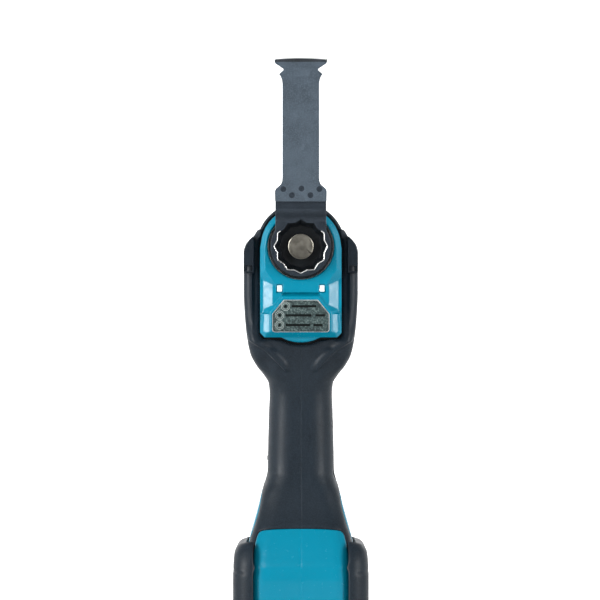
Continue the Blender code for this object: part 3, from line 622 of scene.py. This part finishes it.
def shape_rubber(grid):
    """The rubber's relief: rounded edges at the windows, the head's rim, its ears and shoulders."""
    x, y, z = grid[..., 0], grid[..., 1], grid[..., 2]
    normal = outward(grid)
    front = smoothstep(-normal[..., 1], 0.35, 0.8)
    height = -0.55 * (1 - np.clip(rubber_margin(grid) / 1.8, 0, 1)) ** 2
    rim = outside(mouth_outline(), x, z)
    on_head = front * (z > 188)
    height -= 0.7 * (1 - np.clip(rim / 1.6, 0, 1)) ** 2 * on_head * (rim < 1.6)
    # the band round the mouth is sunk, and the outer part of the head stands over it
    outer = outside(mouth_outline(3.3), x, z)
    height -= 1.3 * (1 - smoothstep(outer, -0.5, 1.6)) * on_head * smoothstep(z, 200, 215)
    height += 0.45 * np.exp(-((rim - 3.9) / 0.7) ** 2) * on_head
    # the raised V between the head's front and the grip
    crease = [(9.5, 173), (21.6, 185), (32.8, 192.7), (40, 197), (40, 230), (0, 230), (0, 173)]
    over = -outside(crease, x, z)
    raised = smoothstep(over, -0.8, 0.8) * (1 - smoothstep(over, 2.5, 6.0))
    height += 1.7 * raised * front * smoothstep(x, 5, 11) * (1 - smoothstep(z, 190, 197))
    # hollows in the flanks of the neck under that V, and beside the cover's lower corners
    for centre_x, centre_z, wide, tall, depth in ((22.5, 177.0, 6.5, 6.0, 1.9), (18.5, 188.0, 5.5, 3.0, 1.5)):
        hollow = np.exp(-(((x - centre_x) / wide) ** 2 + ((z - centre_z) / tall) ** 2))
        height -= depth * hollow * front
    height -= 0.14 * np.exp(-((x / 0.45) ** 2))
    shaped = grid + normal * height[..., None]
    shaped[..., 1] = np.where(z > 255, np.clip(shaped[..., 1], HEAD_FRONT, HEAD_BACK), shaped[..., 1])
    return shaped


def ear(side):
    """The pad beside the mouth: a faceted lug with a slot for a dust nozzle's hook."""
    base = [(28.5, 232.8), (34.6, 232.8), (34.95, 234), (34.95, 245.8), (33.5, 250.4), (31.4, 253.2),
            (29.2, 255.2), (28.5, 254.4)]
    middle = np.array([31.6, 243.5])
    rings = []
    for y, share in ((-32.2, 1.0), (-36.9, 1.0), (-37.9, 0.965), (-38.35, 0.9)):
        ring = [middle + (np.array(p) - middle) * share for p in base]
        rings.append([(side * p[0], y, p[1]) for p in ring])
    return rings if side > 0 else [ring[::-1] for ring in rings]


def screw_wells(radius, side):
    """Room for the screw heads, which are all on the left side."""
    return [rod_x(radius, head_x - 2.6, 45, y, z) for y, z, head_x in SCREWS] if side > 0 else []


def body_shells(paint):
    """Both halves of the rubber, the bare housing and the foot's bumpers."""
    mouths = [
        prism(mouth_outline(), -80, -8),
        box(-17, 17, 30, 80, 237.5, 260.5),
        rounded_box(3.2, 135.5, 151.5, 14, 40, 1.2),
        dial_slot(),
        box(-27, 27, -80, -48, -5, 14.2),
    ]
    for side, hand in ((1, "left"), (-1, "right")):
        grid = body_grid(STATIONS, RUBBER_LOW, BODY_TOP)
        shaped = shape_rubber(grid)
        margin = rubber_margin(grid)
        keep = margin[:-1, :-1] > -2.5
        rubber = piece(
            f"rubber_grip_{hand}", *thick_sheet(shaped, SKIN - 0.2, side, keep), paint["rubber"],
            "housing", "soft_rubber", [f"overmold_{hand}"], 42,
        )
        apply_boolean(rubber, "DIFFERENCE", bare_cutter("bare room", 0.12), "MANIFOLD")
        wells = screw_wells(4.0, side)
        apply_boolean(rubber, "DIFFERENCE", cutter("rubber mouths", mouths + wells), "MANIFOLD")
        add_ear(rubber, side, hand, paint)

        grid = body_grid(STATIONS, 0, BODY_TOP)
        margin = rubber_margin(grid)
        level = -0.3 * smoothstep(grid[..., 2], 52, 58)
        ease = 0.8 * (1 - np.clip(grid[..., 2] / 1.4, 0, 1)) ** 2
        seam = 0.14 * np.exp(-((grid[..., 0] / 0.45) ** 2))
        surface = grid + outward(grid) * (level - ease - seam)[..., None]
        surface[..., 2] = grid[..., 2]
        keep = margin[:-1, :-1] < 2.4
        shell = piece(
            f"teal_shell_{hand}", *thick_sheet(surface, 2.4, side, keep), paint["teal"],
            "housing", "teal_plastic", [f"housing_{hand}"], 42,
        )
        apply_boolean(shell, "INTERSECT", bare_cutter("bare", -0.12), "MANIFOLD")
        wells = screw_wells(3.9, side)
        apply_boolean(shell, "DIFFERENCE", cutter("shell mouths", mouths + wells), "MANIFOLD")

        bumper(side, hand, paint)


def add_ear(rubber, side, hand, paint):
    lug = piece(f"ear_{hand}", *lofted(ear(side)), paint["rubber"], "housing", "soft_rubber", sharp=30)
    low, high = sorted((side * 29.6, side * 40))
    slot = piece("ear slot", *box(low, high, -45, -33.2, 233.9, 237.4), None)
    apply_boolean(lug, "DIFFERENCE", slot)
    soften(lug, 0.35)


def bumper(side, hand, paint):
    grid = body_grid(BUMPER_STATIONS, BUMPER_LOW, BUMPER_TOP, BUMPER_INNER)
    x, y, z = grid[..., 0], grid[..., 1], grid[..., 2]
    normal = outward(grid)
    edge = 1 - np.clip((x - BUMPER_INNER) / 1.6, 0, 1)
    height = -0.6 * edge ** 2
    height -= 0.5 * np.exp(-((z - 60 + 0.16 * np.abs(y)) / 0.9) ** 2) * smoothstep(x, 33, 36)
    shaped = grid + normal * height[..., None]
    shaped[..., 2] -= 0.035 * (y + 59) * smoothstep(z, 50, BUMPER_TOP)
    lip = 0.9 - 0.9 * np.exp(-((z - 54.8) / 2.2) ** 2)
    shaped[..., 0] += lip * np.clip(1 - (x - BUMPER_INNER) / 4, 0, 1)
    shell = piece(
        f"foot_pad_{hand}", *thick_sheet(shaped, PAD_DEPTH, side), paint["rubber"],
        "housing", "soft_rubber", [f"foot_bumper_{hand}"], 42,
    )
    core = body_grid(STATIONS, 0, 77, 0.1)
    core = core + outward(core) * 0.35
    rings = [np.concatenate([level, level[::-1] * (-1, 1, 1)]) for level in core[:: int(4 / STEP)]]
    rings[0][:, 2] = -2
    tool = piece("core room", *lofted(rings), None)
    apply_boolean(shell, "DIFFERENCE", tool, "MANIFOLD")


# ---------------------------------------------------------------- the gear unit's cover


def cover_outline(inset=0.0):
    wide = 24.75 - inset
    low = 193.6 + inset
    chamfer = 2.7 - 0.4 * inset
    left = [(-wide, SPINDLE_Z - 1), (-wide, low + chamfer), (-wide + chamfer, low)]
    return arc(24.3 - inset, 12, 168, 56, SPINDLE_Z) + left + [(-x, z) for x, z in left[::-1]]


def smooth_max(a, b, k):
    h = np.clip(0.5 + 0.5 * (a - b) / k, 0, 1)
    return b * (1 - h) + a * h + k * h * (1 - h)


def smooth_min(a, b, k):
    return -smooth_max(-a, -b, k)


def plate_outline(grow=0.0):
    half = [(10.3, 216.3), (17.3, 207.8), (17.3, 198.4), (16.9, 197.3), (15.9, 196.9)]
    centre = np.array([0, 205.5])
    points = [np.array(p) for p in half + [(-x, z) for x, z in half[::-1]]]
    moved = []
    for p in points:
        away = p - centre
        moved.append(tuple(centre + away * (1 + grow / np.abs(away).max())))
    return moved


def cover_height(x, z):
    """How far the cover stands out towards the blade, as -y."""
    a = np.abs(x)
    ring = [(11.6, 220.5), (12.4, 222.6), (15.8, 225.8), (23.0, 236.6), (23.6, 246), (23.0, 255), (17, 280)]
    from_ring = np.maximum(outside(mirrored(ring), x, z), 0)
    upper = 46.1 - 0.9 * from_ring
    field = [(10.6, 218.3), (18.4, 208.9), (18.4, 190)]
    from_field = np.maximum(outside(mirrored(field), x, z), 0)
    lower = 47.1 - 1.1 * from_field
    height = smooth_max(upper, lower, 0.4)
    # the glossy flanks beside the two plateaus lean outwards
    flank_low = 46.75 - LEAN * np.maximum(a - 18.6, 0) - 3 * smoothstep(z, 207.6, 209.2)
    flank_high = 45.3 - LEAN * np.maximum(a - 17.0, 0)
    height = smooth_max(height, np.maximum(flank_low, flank_high), 0.3)
    groove = smoothstep(z, 218.7, 219.2) * (1 - smoothstep(z, 220.5, 220.8)) * (1 - smoothstep(a, 10.4, 12.2))
    height -= 1.7 * groove
    edge = -outside(cover_outline(), x, z)
    height = smooth_min(height, 42.0 + 1.5 * edge, 0.5)
    height = smooth_min(height, 44.9 + 1.0 * np.maximum(z - 193.6, 0), 0.4)
    notch = np.exp(-(((a - 24.4) / 1.0) ** 2 + ((z - 205.5) / 2.6) ** 4))
    height -= 1.2 * notch
    hole = np.hypot(x, z - SPINDLE_Z) - 20.2
    height -= 0.6 * (1 - np.clip(hole / 0.9, 0, 1)) ** 2
    pocket = np.maximum(np.abs(a - LENS_X) - 1.75, np.abs(z - 223.3) - 2.4)
    height -= 0.9 * (1 - smoothstep(pocket, -0.2, 0.35))
    return np.maximum(height, 42.0)


def head_cover(paint):
    step = STEP / 2
    xs = np.arange(-25.4, 25.4 + step, step)
    zs = np.arange(193.0, 274.0, step)
    x, z = np.meshgrid(xs, zs)
    top = np.stack([x, -cover_height(x, z), z], axis=2)
    rows, columns = x.shape
    index = np.arange(rows * columns).reshape(rows, columns)
    corners = [index[:-1, :-1], index[:-1, 1:], index[1:, 1:], index[1:, :-1]]
    faces = np.stack(corners, axis=2).reshape(-1, 4).tolist()
    border = np.concatenate([index[0, :-1], index[:-1, -1], index[-1, :0:-1], index[:0:-1, 0]])
    points = top.reshape(-1, 3)
    floor = points[border].copy()
    floor[:, 1] = -41.3
    first = len(points)
    count = len(border)
    for i in range(count):
        j = (i + 1) % count
        faces.append((border[j], border[i], first + i, first + j))
    faces.append(tuple(first + i for i in reversed(range(count))))
    points = np.concatenate([points, floor])
    cover = piece("gear_cover", points, faces, paint["teal"], "housing", "teal_plastic", ["head_cover"], 40)
    apply_boolean(cover, "INTERSECT", piece("cover outline", *prism(cover_outline(), -60, -30), None))
    hole = turned([(0, -60), (20.2, -60), (20.2, -30), (0, -30)], 128, SPINDLE_Z)
    pockets = [box(s * LENS_X - 1.6, s * LENS_X + 1.6, -60, -30, 221.1, 225.5) for s in (-1, 1)]
    apply_boolean(cover, "DIFFERENCE", cutter("cover holes", [hole] + pockets))

    skirt = prism(cover_outline(0.05), -41.35, -22)
    wall = piece("cover_skirt", *skirt, paint["teal"], "housing", "teal_plastic")
    apply_boolean(wall, "DIFFERENCE", piece("skirt inside", *prism(cover_outline(2.3), -60, 0), None))
    lip_outline = arc(24.0, -127, -53, 32, MOTOR_Z) + [(14.4, 198), (-14.4, 198)]
    rings = [[(x * s, y, MOTOR_Z + (z - MOTOR_Z) * s) for x, z in lip_outline] for y, s in
             ((-22, 1), (-39.6, 1), (-40.6, 0.985), (-41.2, 0.955))]
    lip = piece("motor_bulge", *lofted(rings), paint["teal"], "housing", "teal_plastic", sharp=50)
    groove = piece("bulge groove", *box(-0.18, 0.18, -50, -20, 185, 190.9), None)
    apply_boolean(lip, "DIFFERENCE", groove)
    # A near-black plate set back in the mouth, round the gear cover: painted shade filling the gap between the
    # cover and the rubber's rim.
    plug = prism(mouth_outline(0.3), -31.0, -29.5)
    gap_shade = piece("mouth_gap_shade", *plug, paint["deep_black"], "housing", "black_plastic")
    apply_boolean(gap_shade, "DIFFERENCE", piece("gap shade inside", *prism(cover_outline(2.2), -60, 0), None))
    for side, hand in ((-1, "right"), (1, "left")):
        lens_window(side, hand, paint)


def lens_window(side, hand, paint):
    """The LED's window, a small block with rounded edges."""
    centre = side * LENS_X
    outline = [(centre - 1.5, 221.3), (centre + 1.5, 221.3), (centre + 1.5, 225.3), (centre - 1.5, 225.3)]
    lens = piece(
        f"led_window_{hand}", *prism(outline, -46.0, -42.6), paint["lens"],
        "housing", "clear_lens", [f"led_lens_{hand}"],
    )
    soften(lens, 0.5, 3)


def info_plate(paint):
    ground = piece(
        "plate_ground", *prism(plate_outline(-0.2), -47.42, -46.9), paint["plate"],
        "housing", "plate_metal", ["info_plate"],
    )
    soften(ground, 0.1)
    edge_out = [(x, -47.55, z) for x, z in plate_outline(0.15)]
    edge_in = [(x, -47.55, z) for x, z in plate_outline(-0.3)]
    rings = [[(x, -46.9, z) for x, _, z in edge_out], edge_out, edge_in, [(x, -46.9, z) for x, _, z in edge_in]]
    points, faces = lofted(rings)
    faces = faces[:-2]
    piece("plate_edge", points, faces, paint["silver"], "housing", "plate_metal", sharp=20)
    marks = []
    rings = []
    for z, ring_x, bars in ((212.5, -9.3, ((-5.6, 9.4),)), (207.0, -12.9, ((-9.2, 6.4), (8.8, 14.6))),
                            (201.1, -12.9, ((-9.2, 5.6), (7.6, 13.2)))):
        marks.append(turned([(0, -47.46), (0.85, -47.46), (0.85, -47.3), (0, -47.3)], 24, z, ring_x))
        marks += [box(low, high, -47.46, -47.3, z - 0.7, z + 0.7) for low, high in bars]
        for radius in (1.75, 2.6):
            low, high = radius - 0.12, radius + 0.12
            rings.append(turned([(low, -47.46), (high, -47.46), (high, -47.3), (low, -47.3)], 40, z, ring_x))
    piece("plate_marks", *merged(*marks), paint["ink"], "housing", "plate_metal")
    piece("plate_rings", *merged(*rings), paint["faint"], "housing", "plate_metal")


# ---------------------------------------------------------------- holder, hub, bolt and blade


def star_radius(angle, tip, valley):
    """A twelve-pointed star's radius: rounded valleys and soft points, with one at the top."""
    phase = np.abs(((angle * 12 / (2 * math.pi)) % 1.0) - 0.5) * 2
    return valley + (tip - valley) * phase ** 1.35


def tool_holder(paint):
    profile = [(5.7, -43.0), (5.7, -40.6), (17.4, -40.6), (19.2, -42.6), (19.4, -43.2), (19.4, -45.4),
               (19.0, -46.1), (18.4, -46.3), (17.7, -46.0), (17.2, -45.4), (15.4, -41.9), (9.0, -41.9),
               (8.4, -42.3), (8.4, -43.0)]
    piece(
        "star_holder", *turned(profile, 120, SPINDLE_Z), paint["deep_black"],
        "spindle", "black_steel", ["tool_holder"], 30,
    )


def blade_hub(paint):
    """The pressed hub: a cupped star, its flange, and the cranked tongue under the blade."""
    count = 288
    angles = (np.arange(count) + 0.5) * 2 * math.pi / count + math.pi / 2
    star = star_radius(angles - math.pi / 2, 1.0, 0.0)
    cos, sin = np.cos(angles), np.sin(angles)
    half, top = 15.4, 33.0
    reach = np.full(count, 18.2)
    with np.errstate(divide="ignore"):
        side = np.where(np.abs(cos) > 1e-6, half / np.abs(cos), 1e9)
        high = np.where(sin > 1e-6, top / np.maximum(sin, 1e-6), 1e9)
    rect = np.where(sin > 0, np.minimum(side, high), 0)
    reach = np.maximum(reach, rect)

    def crank(z):
        return -50.5 - 5.7 * smoothstep(z, 14.8, 22.6)

    def ring(radius, y):
        return np.stack([radius * cos, np.broadcast_to(y, radius.shape), SPINDLE_Z + radius * sin], axis=1)

    def on_flange(radius, sink=0.0):
        return ring(radius, crank(radius * sin) + sink)

    lip = 14.5 + 1.45 * star
    rows = [ring(np.full(count, 5.3), np.full(count, -43.0)), ring(np.full(count, 5.3), np.full(count, -44.2))]
    rows.append(ring(11.2 + 0.8 * star, np.full(count, -44.2)))
    for share, y in ((0.0, -44.35), (0.12, -45.0), (0.5, -47.1), (0.85, -49.0)):
        rows.append(ring(12.0 + 0.85 * star + share * (lip - 12.0 - 0.85 * star) + 0.1, np.full(count, y)))
    rows.append(on_flange(lip, 0.62))
    rows.append(on_flange(lip + 0.14, 0.3))
    rows.append(on_flange(lip + 0.42, 0.08))
    rows.append(on_flange(lip + 0.8))
    for share in np.linspace(0.08, 1, 22):
        radius = lip + 0.8 + share * (reach - 0.35 - lip - 0.8)
        rows.append(on_flange(radius))
    rows.append(on_flange(reach - 0.1, 0.1))
    rows.append(on_flange(reach, 0.35))
    rows.append(on_flange(reach, 1.0))
    within = np.minimum(lip + 1.25, reach - 0.2)
    for share in np.linspace(1, 0.0, 12):
        rows.append(on_flange(within + share * (reach - 0.2 - within), 1.2))
    rows.append(ring(13.3 + 0.85 * star, np.full(count, -43.2)))
    points, faces = lofted(rows)
    faces = faces[:-2]
    last = (len(rows) - 1) * count
    for i in range(count):
        j = (i + 1) % count
        faces.append((last + i, last + j, j, i))
    hub = piece("star_hub", points, faces, paint["hub"], "blade", "hub_steel", ["blade_hub"], 40)
    # The star cup's floor and walls, and the unseen back, take the near-black material instead of the hub's
    # steel: painted shade in the recess.
    hub.data.materials.append(paint["deep_black"])
    mouth = np.repeat(np.arange(len(rows)), count)
    for polygon in hub.data.polygons:
        row = mouth[min(polygon.vertices)]
        polygon.material_index = int(row < 7 or row > 36)
    # A thin silver strip along the star's lip on the left, bottom and right, left out at the top: a painted
    # highlight where the lip's rounded edge catches the light.
    section = ((-0.12, 0.62), (-0.02, 0.18), (0.3, -0.05), (0.62, -0.05), (0.62, 0.2), (0.0, 0.7))
    rim = [on_flange(lip + out, sink) for out, sink in section]
    highlight_angles = [i for i in range(count) if abs(angles[i] % (2 * math.pi) - math.pi / 2) > math.radians(52)]
    highlight_angles = sorted(highlight_angles, key=lambda i: (angles[i] - math.pi / 2) % (2 * math.pi))
    outer = [[line[i] for line in rim] for i in highlight_angles]
    piece("star_rim_highlight", *lofted(outer), paint["silver"], "blade", "hub_steel", sharp=60)


def clamp_bolt(paint):
    head = [(0, -46.85), (2.0, -46.88), (4.2, -46.98), (6.2, -47.12), (6.85, -47.18), (7.05, -47.38),
            (7.35, -47.4), (7.6, -47.25), (7.7, -47.0), (7.7, -44.7), (7.5, -44.5), (4.6, -44.5), (4.6, 20),
            (4.2, 20.6), (4.2, 36.6), (3.6, 37.15), (0, 37.15)]
    form = turned(head, 112, SPINDLE_Z)
    bolt = piece("bolt_head", *form, paint["bolt"], "clamp", "steel", ["clamp_bolt"], 30)
    angle = math.radians(-33)
    across = np.array([math.cos(angle), math.sin(angle)])
    beside = np.array([-across[1], across[0]]) * 0.5
    corners = [across * 4.4 - beside, across * 9 - beside, across * 9 + beside, across * 4.4 + beside]
    mark = piece("bolt mark", *prism([(x, SPINDLE_Z + z) for x, z in corners], -50, -45.2), None)
    apply_boolean(bolt, "DIFFERENCE", mark)


def saw_blade(paint):
    """The plunge blade: a slim strip that widens to a row of teeth."""
    root = [(15.0, 27.0), (15.6, 27.5), (15.7, 33.2), (15.2, 34.6), (13.6, 36.0), (12.0, 37.4), (11.3, 39.2),
            (11.1, 41.5)]
    neck = [(11.1, 98.2), (11.5, 100.8), (12.3, 102.8), (13.3, 103.9), (10.6, 106.2), (10.5, 107.0),
            (15.4, 110.3), (15.9, 111.4), (15.9, 113.3)]
    teeth = []
    count = 24
    pitch = 31.4 / count
    for i in range(count):
        x = 15.7 - pitch * i
        arch = 0.75 * (1 - (x / 15.7) ** 2)
        high, low = 113.35 + arch, 112.45 + arch
        teeth += [(x - 0.08, high), (x - 0.2 * pitch, high), (x - 0.55 * pitch, low)]
    half = root + neck
    outline = [(x, z + SPINDLE_Z) for x, z in half + teeth + [(-x, z) for x, z in half[::-1]]]
    form = prism(outline, BLADE_FRONT, BLADE_BACK)
    strip = piece("saw_strip", *form, paint["blade"], "blade", "blade_steel", ["blade_strip"], 30)
    soften(strip, 0.12, 2)
    band = [(x, z) for x, z in outline if z > SPINDLE_Z + 111.2]
    band = [(x * 0.997, z - 0.12) for x, z in band]
    coat = prism(band, BLADE_FRONT - 0.04, BLADE_BACK + 0.04)
    piece("tooth_paint", *coat, paint["teeth"], "blade", "blade_steel")
    spots = []
    for x, z in ((-10.6, 283.3), (0.4, 283.6), (11.2, 283.3), (-5.4, 279.6), (5.8, 279.6)):
        profile = [(0, -57.56), (0.9, -57.56), (1.35, -57.66), (1.75, -57.52), (1.75, -57.3), (0, -57.3)]
        spots.append(turned(profile, 28, z, x))
    piece("weld_spots", *merged(*spots), paint["hub"], "blade", "blade_steel")


# ---------------------------------------------------------------- lever, switch, dial, screws


def lever(paint):
    """The clamping lever's paddle, crowned and curled outwards at its tip."""
    levels = np.linspace(-9.0, -64.5, 40)
    rings = []
    for z in levels:
        share = (levels[0] - z) / (levels[0] - levels[-1])
        wide = 15.2 - 0.9 * share ** 2 - 4.0 * smoothstep(share, 0.86, 1.0) ** 2
        low = 0.9 + 4.4 * smoothstep(share, 0.68, 1.0)
        high = 7.0 + 2.4 * math.sin(math.pi * min(share * 1.15, 1) * 0.5) + 4.0 * smoothstep(share, 0.72, 1.0)
        high = min(high, 13.3)
        rim = 1.8
        ring = []
        for t in np.linspace(-1, 1, 19):
            crown = (high - low - rim) * (1 - abs(t) ** 3.2)
            along = smoothstep(share, 0.35, 0.5)
            dish = 0.7 * math.exp(-(t / 0.45) ** 2) * along * (1 - smoothstep(share, 0.8, 0.95))
            ring.append((wide * t, LEVER_Y + low + rim + crown - dish, SPINDLE_Z + z))
        for share_x, lift in ((0.99, 0.5), (0.96, 0.0), (-0.96, 0.0), (-0.99, 0.5)):
            ring.append((wide * share_x, LEVER_Y + low + lift, SPINDLE_Z + z))
        rings.append(ring[::-1])
    paddle = lofted(rings)
    arms = []
    for side in (-1, 1):
        low, high = sorted((side * 11.4, side * 15.0))
        bare = [(-5.2, -4.0), (0.9, -12), (7.3, -12)] + arc(7.0, -8, 205, 40)
        outline = [(LEVER_Y + a, SPINDLE_Z + b) for a, b in bare]
        arms.append(side_prism(outline, low, high))
    steps = 40
    cam = []
    for i in range(steps + 1):
        angle = math.pi - math.radians(110) * i / steps
        radius = 6.5 + 3.0 * i / steps
        cam.append((LEVER_Y + radius * math.cos(angle), SPINDLE_Z + radius * math.sin(angle)))
    heel = ((7.6, 0), (7.2, -9), (2.4, -13), (-2.0, -11.5), (-5.2, -3.6))
    cam += [(LEVER_Y + a, SPINDLE_Z + b) for a, b in heel]
    arms.append(side_prism(cam, -7.4, 7.4))
    handle = piece("clamping_lever", *paddle, paint["black"], "lever", "black_plastic", ["lock_lever"], 35)
    for index, part in enumerate(arms):
        apply_boolean(handle, "UNION", piece(f"lever part {index}", *part, None))
    apply_boolean(handle, "DIFFERENCE", piece("pin hole", *rod_x(2.6, -20, 20, LEVER_Y, SPINDLE_Z, 40), None))
    soften(handle, 0.35, 2, 40)


def rod_end(radius, x_low, x_high, y, z, dimple, steps=48):
    """A turned rod along X with chamfered ends and a dimple in each."""
    profile = [(0, x_low + dimple), (radius * 0.4, x_low + dimple), (radius * 0.55, x_low), (radius - 0.5, x_low),
               (radius, x_low + 0.5), (radius, x_high - 0.5), (radius - 0.5, x_high), (radius * 0.55, x_high),
               (radius * 0.4, x_high - dimple), (0, x_high - dimple)]
    points, faces = turned(profile, steps)
    return [(v, y + a, z + b) for a, v, b in np.asarray(points)], faces


def lever_mount(paint):
    form = rod_end(2.5, -15.2, 15.2, LEVER_Y, SPINDLE_Z, 0.6)
    piece("lever_pivot", *form, paint["steel"], "housing", "steel", ["lever_pin"])


def slide_switch(paint):
    """The slide's thumb pad: a dished block with raised cross ribs."""
    y = 25.0
    rings = []
    for z in np.linspace(SWITCH_Z - 11, SWITCH_Z + 11, 56):
        share = abs(z - SWITCH_Z) / 11
        wide = 7.0 - 2.2 * smoothstep(share, 0.84, 1.0) ** 2
        top = 4.2 - 1.1 * (1 - share ** 2) - 1.9 * smoothstep(share, 0.9, 1.0)
        rib = 0.85 * (0.5 + 0.5 * math.cos((z - SWITCH_Z) * 2 * math.pi / 3.1)) ** 2 * (share < 0.8)
        ring = [(wide, y + 0.6), (wide, y + top - 0.9), (wide - 0.9, y + top), (wide - 1.6, y + top + rib)]
        ring += [(-a, b) for a, b in ring[::-1]]
        rings.append([(a, b, z) for a, b in ring])
    pad = lofted(rings)
    stem = box(-2.6, 2.6, y - 6.2, y + 1.0, SWITCH_Z - 4, SWITCH_Z + 4)
    piece("thumb_slide", *merged(pad, stem), paint["black"], "switch", "black_plastic", ["switch_slider"], 35)


def speed_dial(paint):
    """A knurled thumbwheel with bevelled rims."""
    x, y, z = DIAL
    knurls = 40
    count = knurls * 6
    angles = np.arange(count) * 2 * math.pi / count
    wave = 0.5 + 0.5 * np.cos(angles * knurls)
    rings = []
    rise = [(-2.2, 8.0, 0), (-2.2, 10.9, 0), (-1.75, 11.6, 0.25), (-1.2, 12.0, 0.5)]
    for level, radius, depth in rise + [(-level, r, d) for level, r, d in rise[::-1]]:
        r = radius - depth * wave
        columns = [x + r * np.cos(angles), y + r * np.sin(angles), np.full(count, z + level)]
        rings.append(np.stack(columns, axis=1))
    piece("thumbwheel", *lofted(rings), paint["black"], "dial", "black_plastic", ["speed_dial"], 40)


def screws(paint):
    """Pan-head screws with a six-lobed socket."""
    for index, (y, z, head_x) in enumerate(SCREWS):
        cap = [(1.7, -2.2), (3.4, -2.2), (3.45, -1.2), (3.2, -0.6), (2.6, -0.15), (1.6, 0), (0, 0)]
        profile = [(0, -8.5), (1.7, -8.5)] + [(r, head_x + rise) for r, rise in cap]
        points, faces = turned(profile, 48)
        points = [(v, y + a, z + b) for a, v, b in np.asarray(points)]
        name = f"housing_screw_{index + 1}"
        screw = piece(f"case_screw_{index + 1}", points, faces, paint["steel"], "housing", "steel", [name], 30)
        lobes = []
        for a in np.radians(np.arange(0, 360, 6)):
            radius = 1.45 + 0.28 * math.cos(6 * a)
            lobes.append((y + radius * math.cos(a), z + radius * math.sin(a)))
        socket = piece("socket", *side_prism(lobes, head_x - 1.6, head_x + 2), None)
        apply_boolean(screw, "DIFFERENCE", socket)


# ---------------------------------------------------------------- the CAD nodes that stay


def paint_nodes(paint):
    finishes = {
        "teal": ["motor_housing"],
        "rubber": ["isolator_1", "isolator_2", "isolator_3", "isolator_4", "dust_seal", "motor_harness"],
        "black": ["micro_switch", "controller", "terminal_block", "battery_rails", "cooling_fan"],
        "alloy": ["bearing_plate", "gear_housing", "lever_bracket"],
        "steel": ["spindle_bearing_front", "spindle_bearing_rear", "rotor_bearing_front", "rotor_bearing_rear",
                  "clamp_spring", "rotor_shaft", "eccentric_bearing", "spindle_shaft", "swing_arm",
                  "spring_collar"],
        "board": ["led_board", "dial_potentiometer"],
        "lamination": ["stator_core", "rotor_core"],
        "copper": ["winding_front", "winding_rear"],
        "brass": ["terminal_plus", "terminal_minus", "balance_weight"],
    }
    for finish, names in finishes.items():
        for name in names:
            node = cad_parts[name]
            node.data.materials.clear()
            node.data.materials.append(paint[finish])
            node.data.shade_smooth()
            node.data.set_sharp_from_angle(angle=math.radians(32))
            if name not in ("clamp_spring", "motor_harness"):
                soften(node, 0.25, 2, 40)


# ---------------------------------------------------------------- floor, light and camera


def floor():
    """A pale floor that curves up into a round wall, with no edge in view."""
    material, tree, shader = new_material("pale paper")
    tint = ramp(tree, noise(tree, 300, 2), [(0.3, 0.80), (0.7, 0.83)])
    tree.links.new(tint, shader.inputs["Base Color"])
    shader.inputs["Roughness"].default_value = 0.9
    shader.inputs["Specular IOR Level"].default_value = 0.1
    place = tree.nodes.new("ShaderNodeTexCoord")
    split = tree.nodes.new("ShaderNodeSeparateXYZ")
    tree.links.new(place.outputs["Object"], split.inputs["Vector"])
    depth = tree.nodes.new("ShaderNodeMapRange")
    depth.inputs["From Min"].default_value = -1.5
    depth.inputs["From Max"].default_value = 1.5
    tree.links.new(split.outputs["Y"], depth.inputs["Value"])
    glow = ramp(tree, depth.outputs["Result"], [(0.0, 0.0), (0.45, 0.1), (1.0, 0.95)])
    tree.links.new(glow, shader.inputs["Emission Color"])
    shader.inputs["Emission Strength"].default_value = 1.0
    profile = [(0, 0), (FLOOR_FLAT, 0)]
    for a in np.radians(np.arange(6, 91, 6)):
        profile.append((FLOOR_FLAT + WALL_RADIUS * math.sin(a), WALL_RADIUS - WALL_RADIUS * math.cos(a)))
    profile.append((FLOOR_FLAT + WALL_RADIUS, 2400))
    points, faces = turned(profile, 72)
    points = [(x, z, y - 0.02) for x, y, z in np.asarray(points)]
    faces = [face[::-1] for face in faces]
    piece("paper_sweep", points, faces, material)


def softbox(name, place, size, power):
    light = bpy.data.lights.new(name, "AREA")
    light.shape = "RECTANGLE"
    light.size, light.size_y = size[0] * MM, size[1] * MM
    light.energy = power
    obj = bpy.data.objects.new(name, light)
    obj.visible_camera = False
    obj.location = Vector(place) * MM
    obj.rotation_euler = (Vector(LIT_POINT) - Vector(place)).to_track_quat("-Z", "Y").to_euler()
    bpy.context.scene.collection.objects.link(obj)


def lights():
    world = bpy.data.worlds.new("studio")
    world.use_nodes = True
    world.node_tree.nodes["Background"].inputs["Color"].default_value = (0.96, 0.98, 1.0, 1)
    world.node_tree.nodes["Background"].inputs["Strength"].default_value = 0.35
    bpy.context.scene.world = world
    softbox("left strip", (-1150, -780, 520), (190, 900), 33)
    softbox("right strip", (1150, -780, 520), (190, 900), 22)
    softbox("key", (-450, -1000, 1300), (600, 400), 4.5)
    softbox("back left", (-900, 1100, 700), (500, 900), 2)
    softbox("back right", (900, 1100, 700), (500, 900), 2)


def camera():
    view = bpy.data.cameras.new("camera")
    view.lens = 200
    view.sensor_width = 36
    span = 363.6
    plane_y = -50.0
    distance = span * view.lens / view.sensor_width
    obj = bpy.data.objects.new("camera", view)
    obj.location = Vector((-0.5, plane_y - distance, 216.3)) * MM
    obj.rotation_euler = (math.radians(90), 0, 0)
    bpy.context.scene.collection.objects.link(obj)
    bpy.context.scene.camera = obj
    bpy.context.scene.view_settings.view_transform = "Standard"


def main():
    paint = make_materials()
    body_shells(paint)
    head_cover(paint)
    info_plate(paint)
    tool_holder(paint)
    blade_hub(paint)
    clamp_bolt(paint)
    saw_blade(paint)
    lever(paint)
    lever_mount(paint)
    slide_switch(paint)
    speed_dial(paint)
    screws(paint)
    paint_nodes(paint)
    floor()
    lights()
    camera()


main()
bpy.context.view_layer.update()
